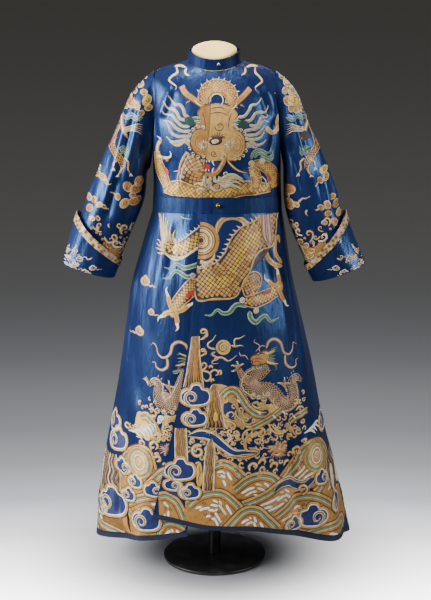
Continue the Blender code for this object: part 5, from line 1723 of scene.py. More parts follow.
# Arms of spume round the rocks, in the units of the middle sheet.
MID_ARMS = (
    [(1010, 700), (960, 680), (926, 706), (928, 756), (966, 778), (1000, 764), (1000, 736),
     (978, 732)],
    [(884, 690), (862, 722), (882, 764), (924, 792), (944, 838), (984, 850), (1034, 830),
     (1064, 800)],
    [(780, 770), (800, 730), (832, 716), (852, 738), (832, 760)],
    [(770, 790), (830, 800), (862, 832), (844, 862), (818, 850)],
    [(1040, 660), (1018, 650), (1004, 672), (1030, 694), (1070, 704), (1092, 680)],
    [(940, 985), (924, 924), (950, 882), (1000, 866), (1054, 868), (1104, 880), (1118, 918),
     (1090, 942), (1054, 930), (1050, 902), (1076, 892)],
    [(1150, 830), (1166, 886), (1216, 930), (1280, 944), (1334, 922), (1354, 872), (1330, 836)],
    [(1244, 846), (1236, 880), (1200, 886), (1184, 860), (1206, 844)],
    [(1400, 770), (1430, 742), (1470, 750), (1482, 782), (1450, 802), (1420, 790)],
    [(756, 606), (790, 590), (802, 620), (780, 642), (758, 626)],
    [(826, 596), (860, 580), (884, 602), (870, 634), (844, 626)],
    [(590, 380), (640, 390), (662, 420), (650, 456), (620, 462), (604, 440)],
    [(656, 404), (680, 375), (716, 380), (722, 410), (698, 416)],
    [(716, 390), (742, 378), (748, 404), (730, 412)],
    [(820, 916), (860, 910), (890, 930), (876, 956), (850, 948)],
    [(800, 970), (830, 940), (852, 930)],
)
UNDER_ARMS = (
    [(270, 850), (248, 884), (270, 924), (320, 944), (362, 930), (372, 888)],
    [(300, 858), (324, 870), (312, 894), (288, 884)],
    [(396, 850), (368, 870), (380, 904)],
    [(120, 742), (160, 734), (192, 760), (180, 792), (150, 796), (144, 770)],
    [(330, 786), (300, 780), (290, 806), (316, 820)],
    [(180, 940), (210, 920), (232, 942), (216, 966)],
)


# Curls of spume: centre, radius, start in degrees and way round, in the units of the sheets.
MID_CURLS = (
    (850, 668, 22, 40, 1), (792, 748, 22, 200, -1), (834, 832, 24, 300, 1), (874, 764, 20, 90, 1),
    (906, 706, 22, 0, -1), (952, 786, 22, 250, 1), (1044, 664, 20, 160, 1),
    (1000, 596, 20, 30, -1), (1106, 660, 20, 210, 1), (884, 918, 26, 60, 1),
    (1010, 930, 24, 10, -1), (820, 880, 22, 120, 1), (760, 890, 22, 30, 1),
    (700, 900, 24, 300, -1), (640, 910, 22, 200, 1), (1010, 800, 20, 100, -1),
    (960, 640, 18, 80, 1), (1180, 650, 20, 300, 1), (1160, 840, 22, 20, 1),
    (1400, 690, 24, 140, -1), (1450, 700, 20, 40, 1), (1490, 640, 22, 200, 1),
    (1310, 800, 20, 0, -1), (612, 236, 22, 200, 1), (660, 352, 18, 30, -1), (680, 460, 18, 120, 1),
    (620, 90, 24, 220, 1), (1330, 880, 20, 90, 1), (1400, 900, 24, 0, 1), (1470, 860, 24, 190, -1),
    (1080, 960, 22, 260, 1),
)
UNDER_CURLS = (
    (150, 704, 22, 30, 1), (206, 744, 20, 200, -1), (262, 744, 20, 90, 1), (330, 742, 20, 320, 1),
    (100, 726, 18, 120, 1), (60, 740, 20, 0, -1), (292, 850, 20, 60, 1), (250, 920, 22, 180, -1),
    (350, 880, 20, 20, 1), (408, 640, 18, 240, 1), (400, 900, 22, 100, -1), (30, 700, 20, 60, 1),
    (300, 960, 22, 330, 1), (350, 700, 18, 140, -1), (130, 650, 16, 30, 1),
)
HEM_CURLS = (
    (860, 34, 24, 30, 1), (960, 24, 22, 200, -1), (1200, 76, 22, 90, 1), (1250, 50, 20, 0, 1),
    (1000, 84, 18, 60, -1), (1050, 30, 20, 220, 1), (1140, 40, 20, 300, 1), (800, 30, 20, 120, -1),
    (880, 210, 22, 40, 1), (1290, 120, 18, 180, 1), (760, 200, 16, 10, 1), (1010, 250, 22, 100, 1),
    (1200, 190, 20, 30, -1), (720, 170, 18, 240, 1), (590, 60, 18, 60, 1),
)
HEM_UNDER_CURLS = (
    (332, 112, 22, 30, 1), (352, 172, 22, 200, -1), (382, 74, 20, 90, 1), (300, 70, 22, 0, 1),
    (414, 30, 20, 60, -1), (250, 30, 20, 220, 1), (440, 190, 20, 300, 1), (410, 230, 20, 120, -1),
    (200, 30, 20, 40, 1), (470, 120, 18, 180, 1),
)


# Hills of the sea in hem units, the farthest first: crest from left to right, then the foot.
HILLS_OVER = (
    ([(690, 196), (760, 172), (830, 190), (880, 235), (930, 290), (1000, 330)], [(1000, 400),
     (690, 400)]),
    ([(1090, 340), (1160, 296), (1220, 236), (1262, 150), (1330, 112), (1400, 140), (1436, 220),
     (1440, 330)], [(1440, 420), (1090, 420)]),
    ([(820, 340), (900, 282), (990, 258), (1080, 280), (1130, 318), (1190, 340)], [(1190, 430),
     (820, 430)]),
    ([(1330, 420), (1400, 330), (1450, 250), (1500, 240), (1560, 300)], [(1570, 900),
     (1330, 900)]),
    ([(870, 436), (960, 404), (1040, 372), (1110, 332), (1170, 322), (1240, 344), (1320, 380)],
     [(1320, 560), (870, 560)]),
    ([(380, 396), (430, 385), (500, 420), (540, 480), (570, 560)], [(570, 900), (380, 900)]),
    ([(540, 446), (600, 392), (680, 360), (760, 358), (820, 390), (870, 440), (910, 490)],
     [(910, 900), (540, 900)]),
    ([(1080, 530), (1150, 492), (1220, 444), (1290, 430), (1350, 444), (1400, 500),
     (1430, 570)], [(1430, 900), (1080, 900)]),
    ([(750, 610), (820, 530), (870, 482), (930, 462), (1000, 480), (1060, 540), (1130, 610)],
     [(1130, 900), (750, 900)]),
    ([(1270, 730), (1330, 672), (1410, 650), (1490, 676), (1550, 740)], [(1580, 900),
     (1270, 900)]),
)
HILLS_UNDER = (
    ([(150, 330), (190, 190), (262, 126), (330, 150), (360, 230), (380, 330)], [(380, 460),
     (150, 460)]),
    ([(280, 360), (330, 300), (380, 254), (440, 236), (500, 300)], [(500, 480), (280, 480)]),
    ([(-60, 300), (-10, 250), (60, 240), (130, 260), (180, 330)], [(180, 900), (-60, 900)]),
    ([(190, 500), (260, 432), (340, 402), (430, 388), (500, 420), (560, 500)], [(560, 900),
     (190, 900)]),
    ([(-80, 560), (0, 500), (80, 480), (160, 500), (230, 570)], [(230, 900), (-80, 900)]),
    ([(-90, 750), (-20, 694), (60, 676), (140, 700), (210, 760)], [(210, 900), (-90, 900)]),
    ([(330, 660), (380, 586), (450, 560), (530, 584), (600, 650)], [(600, 900), (330, 900)]),
)


def sea(n, hills):
    """Hills of water, each over the ones before it."""
    shapes = [np.vstack([bend(crest, 14), np.asarray(base, float)]) for crest, base in hills]
    for k, (crest, base) in enumerate(hills):
        hill(n, crest, base, 0, shapes[k + 1:])


def sea_over(n):
    """The sea of the upper front."""
    on_sheet(n, HEM_SHEET)
    sea(n, HILLS_OVER)


def sea_under(n):
    """The sea of the under front."""
    on_sheet(n, HEM_SHEET)
    sea(n, HILLS_UNDER)


def hem_over(n):
    """Clouds, rocks and whorls over the sea of the upper front."""
    on_sheet(n, HEM_SHEET)
    # Navy gaps round the lap clouds.
    n.patch([(412, 380), (420, 330), (470, 300), (560, 330), (630, 350), (620, 400), (560, 440),
             (520, 430), (480, 390), (440, 372)], "navy", 2)
    rock(n, [(648, 372), (656, 240), (668, 110), (690, 52)],
         [(712, 372), (716, 240), (718, 110), (700, 48)], ("gold", "tan", "ochre", "gold"), 4, 4)
    n.patch([(612, 250), (620, 205), (642, 215), (640, 260), (650, 300), (636, 345), (614, 335)],
            "yellow", 5)
    n.line([(626, 216), (632, 262), (622, 300), (632, 336)], 5, "umber", 6)
    rock(n, [(486, 200), (484, 60), (488, -10)], [(560, 210), (554, 60), (550, -10)],
         ("gold", "ochre", "tan", "ochre", "gold"), 3, 5)
    stream = [(1084, 396), (1130, 358), (1190, 350), (1240, 378), (1300, 384), (1336, 350)]
    n.stack(stream, ((58, "white"), (50, "navy")), 4, (0.3, 0.2), 0.2)
    n.line(stream, 9, "gold", 6, (0.2, 0.2), shift=14)
    scroll(n, spiral((1280, 414), 34, 6, 90, -1.3), 15, 7, (0, 0.3))
    rock(n, [(1412, 470), (1404, 350), (1420, 250)], [(1540, 520), (1530, 380), (1490, 240)],
         ("tan", "gold", "ochre", "cream", "tan", "gold"), 4, 6)
    for x in (1440, 1486):
        n.patch([(x - 14, 460), (x - 12, 370), (x, 330), (x + 14, 370), (x + 12, 460), (x, 480)],
                "cream", 7)
    sea_clouds(n, ((512, 262, 1.9, 1, 5), (572, 392, 1.3, 1, 6), (470, 350, 1.1, -1, 4),
                   (1335, 606, 2.0, -1, 5), (1440, 566, 1.7, 1, 5), (1426, 70, 1.6, 1, 4),
                   (1380, 370, 1.3, -1, 4), (1220, 626, 1.2, 1, 5)))
    mark(n, HEM_SHEET, 1355, 222)
    medallion(n, 4)
    on_sheet(n, HEM_SHEET)
    for k in range(4):
        n.line([(1286 + 22 * k, 66 - 10 * k), (1330 + 20 * k, 60 - 8 * k),
                (1366 + 16 * k, 96 - 8 * k)], 15, "white", 4, (0.3, 0.3))
    spume_field(n, 560, 1300, 20, 300, 50, 12)
    curls(n, HEM_CURLS, 13, 3)
    for path in ([(930, 250), (924, 222), (950, 206), (972, 224), (958, 244)],
                 [(980, 214), (1000, 190), (1026, 200), (1020, 226)],
                 [(1060, 250), (1074, 222), (1104, 228), (1100, 254)],
                 [(1150, 250), (1170, 224), (1200, 236), (1190, 258)],
                 [(1230, 190), (1220, 160), (1250, 146), (1266, 168)]):
        scroll(n, path, 17, 4)


def hem_under(n):
    """Clouds, rocks and a whorl over the sea of the under front."""
    mark(n, HEM_SHEET, 262, 238)
    medallion(n, 4)
    on_sheet(n, HEM_SHEET)
    rock(n, [(56, 470), (60, 340), (70, 240)], [(164, 470), (158, 340), (150, 236)],
         ("tan", "pink", "gold", "cream", "tan", "ochre"), 4, 6)
    for k in range(4):
        n.line([(206 + 28 * k, 60 - 16 * k), (246 + 24 * k, 56 - 12 * k),
                (276 + 20 * k, 96 - 12 * k)], 15, "white", 4, (0.3, 0.3))
    spume_field(n, 220, 480, 20, 260, 50, 12)
    curls(n, HEM_UNDER_CURLS, 13, 3)
    for path in ([(330, 150), (322, 110), (350, 92), (370, 120), (354, 140)],
                 [(340, 60), (366, 44), (386, 66), (372, 90)],
                 [(350, 190), (376, 180), (384, 204), (362, 214)]):
        scroll(n, path, 17, 4)
    sea_clouds(n, ((128, 560, 2.6, 1, 5), (290, 606, 2.0, 1, 5), (340, 402, 1.3, -1, 5),
                   (240, 372, 1.2, 1, 5), (122, 50, 1.7, 1, 5), (150, 150, 1.9, 1, 5),
                   (180, 300, 1.3, -1, 5), (80, 600, 1.6, -1, 5), (206, 470, 1.2, 1, 5)))
    on_sheet(n, HEM_SHEET)
    rng = random.Random(12)
    for k in range(18):
        a = math.radians(k * 20)
        reach = rng.uniform(38, 66)
        n.line([(430, 130), (430 + reach * math.cos(a), 130 + reach * 0.8 * math.sin(a))], 9,
               ("tan", "pink", "bronze")[k % 3], 4, (0, 0.6))


def side_clouds(n):
    """Small clouds high on both fronts, near the side seams."""
    sky_clouds(n, ((-224, 838, 0.75, 1), (-240, 700, 0.7, -1), (-196, 760, 0.5, 1)))


def back_sea(n):
    """Plain hills of the sea, clouds and rocks round the back, which can't be seen."""
    n.at(0, HEM_SHEET[1], HEM_SHEET[2], rise=-1)
    hills = []
    for top, first in ((360, -1020), (490, -1190), (610, -1020)):
        for k in range(7 if first == -1020 else 8):
            c = first + 340 * k
            rise = 26 * math.sin(c * 0.011 + top)
            crest = [(c - 200, top + 120), (c - 120, top + 24), (c, top - 34 - rise),
                     (c + 120, top + 24), (c + 200, top + 120)]
            hills.append((crest, [(c + 200, 820), (c - 200, 820)]))
    sea(n, hills)
    for x in (-520, 160, 840):
        rock(n, [(x - 60, 420), (x - 44, 260), (x - 20, 110)],
             [(x + 60, 420), (x + 44, 260), (x + 16, 90)], ("gold", "tan", "ochre", "gold", "tan"),
             4, 5)
    for x, y, size, flip in ((-860, 330, 1.7, 1), (-180, 350, 1.8, -1), (500, 340, 1.7, 1),
                             (-1000, 600, 1.5, -1), (-350, 640, 1.6, 1), (320, 650, 1.5, -1),
                             (980, 610, 1.6, 1)):
        n.at(HEM_SHEET[2] * x, HEM_SHEET[1] - HEM_SHEET[2] * y, size, 0, flip)
        cloud(n, "navy", "gold", "white", False, 5)
    sky_clouds(n, ((-120, 860, 1.0, 1), (96, 800, 1.1, -1), (-40, 700, 1.2, 1), (180, 640, 1.1, 1),
                   (-210, 600, 1.1, -1), (20, 930, 0.9, -1)))


# Where thread stops, in mm: from a panel's edge, over the hem bindings and under the waistband.
EDGE = {"skirt": 1.2, "skirt_back": 2, "bodice": 1.0, "bodice_back": 4}
HEM = {"skirt": 13, "skirt_back": 16}
WAIST = {"skirt": 1024, "skirt_back": 1020, "bodice": 1077, "bodice_back": 1080}
# The axis of the skirt and its lowest and highest level, in metres.
SKIRT_AXIS = (0.012, 0, 0)
SKIRT_LEVELS = (0.09, 1.03)


def skirt_form(panels, front):
    """Unrolls the skirt from its middle at the front or the back."""
    return RoundForm(panels, SKIRT_AXIS, (0, 0, 1), (0, front, 0), *SKIRT_LEVELS)


def embroider_skirt():
    """Draws and lays the thread of the three skirt panels."""
    over, under, back = "skirt_front_left_satin", "skirt_front_right_satin", "skirt_back_satin"
    form = skirt_form((over, under, back), -1)
    edges = {name: outline(name, form) for name in (over, under)}

    def gap_over(points, name=over):
        own = inside_gap(points, edges[name]) - EDGE["skirt"]
        hem = inside_gap(points - (0, HEM["skirt"]), edges[name])
        return np.minimum(np.minimum(own, hem), WAIST["skirt"] - points[:, 1])

    def gap_under(points):
        return np.minimum(gap_over(points, under), 3.0 - inside_gap(points, edges[over]))

    for seed, name, draws in (
            (41, "skirt_dragon_thread_left", (great_dragon_over,)),
            (42, "skirt_middle_thread_left", (sea_dragons_over,)),
            (43, "skirt_sea_thread_left", (sea_over, hem_over)),
            (44, "skirt_dragon_thread_right", (great_dragon_under, side_clouds, sea_dragons_under)),
            (45, "skirt_sea_thread_right", (sea_under, hem_under))):
        n = Needle(seed)
        for draw in draws:
            draw(n)
        left = name.endswith("left")
        lay_thread(n, name, over if left else under, form, gap_over if left else gap_under)
    behind = skirt_form((back,), 1)
    edge = outline(back, behind)

    def gap_back(points):
        own = inside_gap(points, edge) - EDGE["skirt_back"]
        hem = inside_gap(points - (0, HEM["skirt_back"]), edge)
        return np.minimum(np.minimum(own, hem), WAIST["skirt_back"] - points[:, 1])

    n = Needle(46)
    back_sea(n)
    lay_thread(n, "skirt_back_thread", back, behind, gap_back)


# ---- chest and sleeve pattern ----------------------------------------------------------

# Drawing sheet of the chest, as above, and its units' height over their width, downwards.
CHEST_SHEET = (-174.8, 1431.8, 0.2509)
CHEST_RISE = -0.952


def on_chest(n):
    """Coordinates right and down from the chest sheet's upper left corner."""
    n.at(*CHEST_SHEET, rise=CHEST_RISE)


def dragon_face(n, face, edge):
    """The great dragon's face, seen from the front, with horns, brows, cheeks and mouth."""
    # Tail that loops over the head, with fins along its outside.
    loop = [(600, 455), (588, 370), (628, 300), (700, 268), (780, 274), (850, 318), (880, 390),
            (846, 462)]
    n.spikes(loop, 70, 30, 42, "cream", 1)
    n.scaled(loop, (46, 62, 68, 70, 70, 68, 62, 44), 32,
             ("gold", "ochre", "yellow", "gold", "pink"), 1, "bronze")
    n.line(spiral((722, 410), 66, 66, 60, -0.75), 10, "cream", 4, (0.1, 0.1))
    # Horns.
    for horn in ([(352, 268), (392, 338), (476, 398), (566, 470), (622, 540)],
                 [(1072, 292), (1010, 360), (934, 430), (868, 500), (822, 560)]):
        n.stack(horn, ((72, "umber"), (52, "ochre")), 2, (0, 0.5), 0.8)
        n.line([horn[1], horn[2], horn[3]], 7, "bronze", 4, (0.3, 0.3))
        n.line([horn[2], ((horn[3][0] + horn[2][0]) / 2 + 10, (horn[3][1] + horn[2][1]) / 2 + 20),
                horn[3]], 9, "white", 5, (0.2, 0.2))
    for x, y, way in ((440, 430, -1), (968, 470, 1)):
        n.line([(x, y - 10), (x + 24 * way, y), (x + 44 * way, y + 18)], 16, "ochre", 2, (0, 0.8))
    # Face.
    shape = [(640, 462), (570, 486), (528, 540), (540, 620), (520, 690), (470, 740), (448, 810),
             (452, 890), (490, 965), (560, 1020), (640, 1040), (720, 1052), (790, 1050),
             (860, 1060), (940, 1050), (996, 990), (1012, 900), (1000, 810), (960, 745), (890, 700),
             (900, 620), (934, 560), (880, 492), (800, 462), (720, 450)]
    n.line(shape, 26, "umber", 2, (0, 0), closed=True)
    n.patch(shape, face, 3)
    n.line(shape, 9, edge, 4, (0, 0), closed=True)
    for path in ([(560, 540), (590, 600), (600, 680), (596, 740)],
                 [(880, 540), (852, 610), (846, 690), (856, 740)],
                 [(660, 500), (700, 486), (760, 486), (810, 504)],
                 [(640, 560), (700, 540), (780, 544), (830, 570)],
                 [(620, 930), (640, 1000), (700, 1034), (740, 1030)]):
        n.line(path, 10, "umber", 4, (0.3, 0.3))
    n.line(spiral((752, 688), 54, 8, 200, -1.5), 10, "umber", 4, (0.1, 0.2))
    # Cheeks with a scalloped rim.
    for cx, cy, rx, ry, first, last in ((545, 862, 104, 150, 60, 300),
                                        (926, 884, 96, 150, -110, 100)):
        turn = np.radians(np.linspace(first, last, 19))
        ring = np.column_stack([cx + rx * np.cos(turn), cy - ry * np.sin(turn)])
        n.line(ring, 10, "umber", 5, (0.1, 0.1))
        for k in range(1, 18, 2):
            x, y = ring[k]
            n.line(spiral((x + 16 * math.cos(turn[k]), y - 16 * math.sin(turn[k])), 22, 6, 200,
                          1.2), 9, "cream", 5, (0.1, 0.3))
        for inset in (0.72, 0.5):
            n.line([(cx + (x - cx) * inset, cy + (y - cy) * inset) for x, y in ring], 8, "bronze",
                   4, (0.2, 0.2))
    # Brows.
    for cx, cy, way in ((448, 632, 1), (985, 668, -1)):
        n.patch([(cx - 66, cy - 20), (cx - 20, cy - 48), (cx + 40, cy - 38), (cx + 66, cy),
                 (cx + 46, cy + 40), (cx, cy + 56), (cx - 44, cy + 34)], "pine", 5)
        for k in range(5):
            n.line([(cx + way * (10 + 12 * k), cy - 34 + 18 * k),
                    (cx + way * (52 + 8 * k), cy - 44 + 20 * k),
                    (cx + way * 112, cy - 30 + 14 * k)], 10, ("leaf", "green", "cream")[k % 3], 6,
                   (0.2, 0.5))
    # Eye with lashes.
    n.disc((702, 850), 58, "gold", 4)
    n.patch([(640, 850), (668, 818), (712, 808), (756, 822), (782, 850), (744, 884), (700, 894),
             (660, 882)], "umber", 5)
    n.patch([(660, 850), (684, 830), (716, 822), (748, 840), (730, 866), (694, 876), (670, 868)],
            "cream", 6)
    n.ring((708, 848), 16, 7, "bronze", 7)
    for k, (x, y) in enumerate(((640, 790), (664, 768), (694, 756), (726, 748), (758, 752),
                                (786, 768), (806, 796), (812, 824))):
        n.line([(690 + 10 * k, 826 + (k > 5) * 8), (672 + 17 * k, 800), (x, y)], 15, "umber", 5,
               (0, 0.8))
    for x, y in ((590, 884), (858, 886)):
        for k in range(11):
            a = math.radians(20 + k * 360 / 11)
            n.line([(x + 14 * math.cos(a), y + 14 * math.sin(a)),
                    (x + 62 * math.cos(a + 0.2), y + 58 * math.sin(a))], 13,
                   ("cream", "white")[k % 2], 6, (0.1, 0.6))
            n.line([(x + 12 * math.cos(a), y + 12 * math.sin(a)),
                    (x + 56 * math.cos(a + 0.2), y + 50 * math.sin(a))], 3, "bronze", 7, (0.1, 0.3))
    # Muzzle and mouth.
    n.patch([(628, 930), (680, 926), (740, 950), (800, 960), (836, 1000), (820, 1052), (760, 1060),
             (700, 1064), (630, 1060), (604, 1020), (606, 960)], "gold", 5)
    n.line(spiral((690, 985), 38, 8, 20, 1.4), 10, "umber", 6, (0.1, 0.2))
    n.line(spiral((788, 1004), 36, 8, 160, -1.4), 8, "cream", 6, (0.1, 0.2))
    n.patch([(606, 1062), (660, 1066), (720, 1066), (752, 1090), (736, 1150), (700, 1196),
             (640, 1190), (600, 1140)], "navy", 5)
    n.patch([(572, 1120), (612, 1096), (650, 1112), (652, 1148), (612, 1170), (580, 1156)], "red",
            6)
    n.disc((696, 1168), 26, "red", 6)
    for root, tip in (((676, 1062), (698, 1118)), ((676, 1190), (692, 1134)),
                      ((612, 1062), (618, 1084)), ((640, 1062), (646, 1082)),
                      ((606, 1172), (612, 1148)), ((636, 1178), (640, 1154))):
        n.line([root, ((root[0] + tip[0]) / 2 - 6, (root[1] + tip[1]) / 2), tip], 17, "white", 7,
               (0, 0.8))
    n.line([(812, 1010), (788, 1080), (752, 1150), (716, 1196), (656, 1220), (596, 1214)], 50,
           "ochre", 6, (0.1, 0.2), 0.4)
    n.line([(800, 1030), (776, 1092), (740, 1160), (700, 1200)], 9, "leaf", 7, (0.2, 0.2))
    n.line([(828, 1056), (872, 1112), (938, 1172), (1040, 1214)], 18, "yellow", 5, (0.1, 0.5))
    n.line([(604, 1124), (540, 1152), (462, 1172)], 16, "pink", 5, (0.1, 0.6))
    n.line([(330, 1184), (290, 1200), (262, 1206)], 12, "gold", 5, (0.3, 0.6))


def dragon_mane(n):
    """Hair that flows out from both cheeks."""
    left = (
        [(440, 590), (388, 574), (366, 500), (330, 462), (278, 460), (242, 410), (206, 366)],
        [(410, 625), (336, 610), (300, 545), (262, 512), (212, 508), (180, 470), (158, 430)],
        [(440, 690), (362, 690), (300, 640), (262, 588), (208, 574), (170, 572), (142, 534)],
        [(452, 735), (380, 748), (300, 722), (258, 676), (214, 646), (158, 640)],
        [(460, 800), (384, 800), (310, 806), (246, 772), (212, 700), (196, 664), (156, 642)],
        [(470, 860), (404, 836), (330, 860), (262, 872), (222, 850), (188, 812)],
        [(450, 910), (384, 856), (340, 890), (286, 906), (224, 868)],
    )
    right = (
        [(944, 590), (1012, 580), (1060, 520), (1084, 470), (1140, 460), (1170, 430), (1192, 398)],
        [(1006, 640), (1080, 624), (1124, 560), (1180, 546), (1230, 552), (1252, 520), (1264, 478)],
        [(1060, 680), (1140, 690), (1170, 640), (1196, 596), (1244, 612), (1262, 580)],
        [(1000, 740), (1080, 730), (1150, 716), (1190, 664), (1222, 640), (1266, 662)],
        [(1010, 790), (1080, 790), (1150, 780), (1204, 730), (1234, 690)],
        [(1010, 830), (1080, 836), (1160, 834), (1210, 790), (1222, 740)],
        [(1020, 890), (1090, 872), (1150, 906), (1206, 890), (1242, 852)],
        [(1000, 930), (1080, 910), (1120, 932), (1150, 930)],
    )
    strands(n, left + right, 31, ("cream", "tan", "gold", "leaf", "tan", "pink"), 1, (0.05, 0.4))


def chest_dragon(n, over):
    """The great dragon on both fronts of the bodice, in the units of the chest sheet."""
    on_chest(n)
    # The half of the face on the under front is drawn in darker thread, ochre and bronze in place
    # of gold and ochre.
    face, edge = ("gold", "ochre") if over else ("ochre", "bronze")
    # Body behind the face and along the waist.
    n.scaled([(500, 1010), (462, 1120), (470, 1240), (560, 1360), (700, 1440)],
             (100, 130, 146, 136, 120), 54, ("ochre", "gold", "tan", "bronze"), 0, "umber")
    for k in range(3):
        n.line([(404 + 16 * k, 990), (352 + 16 * k, 1090), (318 + 16 * k, 1200),
                (300 + 18 * k, 1320), (330 + 18 * k, 1440)], 10, ("tan", "umber", "gold")[k], 2,
               (0.1, 0.1))
    n.scaled([(150, 1420), (300, 1404), (470, 1436), (640, 1440)], (40, 100, 76, 60), 44,
             ("yellow", "gold", "ochre", "yellow"), 1, "bronze")
    n.scaled([(640, 1440), (840, 1420), (980, 1382), (1120, 1392), (1300, 1410)],
             (60, 70, 84, 70, 40), 44, ("yellow", "gold", "ochre", "gold"), 1, "bronze")
    # Arms.
    n.scaled([(84, 1000), (100, 1110), (130, 1230), (170, 1330), (196, 1400)], (26, 40, 56, 54, 40),
             30, LIMB_SCALES, 2, "bronze")
    n.patch([(160, 1180), (186, 1172), (210, 1220), (206, 1262), (176, 1240)], "red", 4)
    for path, tip in (([(84, 1010), (96, 930), (120, 880), (130, 850)], (88, 828)),
                      ([(96, 1050), (140, 1060), (186, 1060), (222, 1050)], (228, 976))):
        n.stack(path, ((36, "gold"), (22, "cream")), 3, (0.1, 0.2), 0.6)
        end = path[-1]
        n.line([end, ((end[0] + tip[0]) / 2 + 14, (end[1] + tip[1]) / 2 + 4), tip], 22, "white", 5,
               (0, 0.9), 0.1)
    for x, y in ((128, 868), (196, 1086), (150, 1060)):
        n.disc((x, y), 17, "ochre", 5)
    n.scaled([(1080, 1130), (1160, 1120), (1250, 1166), (1316, 1260), (1340, 1420)],
             (36, 54, 62, 62, 50), 30, LIMB_SCALES, 2, "bronze")
    n.patch([(1236, 1240), (1268, 1246), (1300, 1300), (1310, 1336), (1268, 1310)], "red", 4)
    n.scaled([(1060, 1200), (1110, 1200), (1140, 1290), (1130, 1400)], (46, 52, 54, 40), 30,
             LIMB_SCALES, 3, "bronze")
    for x, y in ((1084, 1102), (1198, 1086)):
        n.disc((x, y), 32, "cream", 5)
        n.ring((x, y), 20, 8, "pink", 6)
    n.line([(1160, 1290), (1200, 1270), (1240, 1320), (1262, 1400)], 12, "white", 4, (0.2, 0.4))
    # Green streamers behind the right arm.
    for path in ([(1084, 1064), (1104, 990), (1160, 958), (1216, 980), (1262, 1010), (1296, 980),
                  (1312, 910)], [(1120, 1050), (1150, 1002), (1200, 1010), (1262, 1056),
                                 (1312, 1036), (1324, 960)],
                 [(1180, 1040), (1230, 1064), (1276, 1092), (1318, 1076), (1330, 1030)]):
        ribbon(n, path, 26, "green", "leaf", "pine", 1, (0.1, 0.5))
    # Tendrils.
    ribbon(n, [(1236, 700), (1276, 760), (1322, 786), (1364, 742), (1366, 660), (1388, 596),
               (1430, 572)], 38, "gold", "cream", "pink", 2, (0.1, 0.1))
    for path in ([(288, 76), (304, 130), (250, 168), (216, 212), (262, 248), (296, 274),
                  (284, 312)], [(404, 84), (384, 120), (400, 148), (440, 160)],
                 [(1132, 76), (1128, 130), (1176, 180), (1200, 226), (1152, 262), (1126, 286),
                  (1138, 322)], [(1020, 80), (1024, 126), (990, 150), (978, 162)],
                 [(1330, 356), (1376, 376), (1414, 410)]):
        n.stack(path, ((30, "umber"), (22, "gold")), 0, (0.1, 0.4))
        n.line(path, 8, "cream", 2, (0.1, 0.5))
    for x in (330, 1090):
        n.stack([(x - 60, 80), (x, 66), (x + 70, 80)], ((22, "gold"), (8, "cream")), 1, (0.2, 0.2))
    dragon_mane(n)
    # Beard.
    beard = [[(640, 1260), (610, 1310), (570, 1330), (520, 1320), (480, 1344)],
             [(600, 1220), (590, 1300), (610, 1360), (580, 1420)],
             [(660, 1240), (640, 1320), (680, 1380), (740, 1400), (790, 1366)],
             [(700, 1230), (700, 1290), (752, 1290), (800, 1250), (870, 1222), (930, 1234),
              (1000, 1280)], [(740, 1236), (760, 1276), (820, 1284), (880, 1258), (950, 1270),
                              (1010, 1310)], [(720, 1300), (780, 1320), (850, 1310), (920, 1300),
                                              (990, 1340)],
             [(660, 1300), (640, 1360), (590, 1390), (540, 1380), (500, 1402)],
             [(760, 1330), (800, 1360), (860, 1340), (920, 1356), (980, 1390)]]
    strands(n, beard, 34, ("cream", "gold", "bronze", "tan", "leaf"), 4, (0.05, 0.4))
    n.line(spiral((724, 1356), 44, 10, 0, 1.4), 14, "gold", 6, (0.1, 0.3))
    n.line(spiral((812, 1212), 26, 8, 0, -1.3), 10, "cream", 6, (0.1, 0.3))
    dragon_face(n, face, edge)


def back_clouds(n):
    """Plain clouds and a pearl over the back of the bodice, which can't be seen."""
    n.at(0, 1250, 1.5)
    pearl(n, 1)
    sky_clouds(n, ((-90, 1310, 1.2, 1), (88, 1300, 1.2, -1), (-70, 1180, 1.3, -1),
                   (80, 1170, 1.3, 1), (0, 1130, 1.1, 1), (0, 1350, 1.0, -1)))


def embroider_bodice():
    """Draws and lays the thread of the bodice, front and back."""
    over, under, back = "bodice_front_left_satin", "bodice_front_right_satin", "bodice_back_satin"
    front, behind = FlatForm(1), FlatForm(-1)
    edges = {name: outline(name, front, 2) for name in (over, under)}
    edges[back] = outline(back, behind, 2)

    def gap_over(points, name=over, word="bodice"):
        own = inside_gap(points, edges[name]) - EDGE[word]
        return np.minimum(own, points[:, 1] - WAIST[word])

    def gap_under(points):
        return np.minimum(gap_over(points, under), 2.0 - inside_gap(points, edges[over]))

    for name, seed, gap in ((over, 51, gap_over), (under, 52, gap_under)):
        n = Needle(seed)
        chest_dragon(n, name == over)
        lay_thread(n, name.replace("satin", "thread"), name, front, gap)
    n = Needle(53)
    back_clouds(n)
    lay_thread(n, "bodice_back_thread", back, behind,
               lambda points: gap_over(points, back, "bodice_back"))


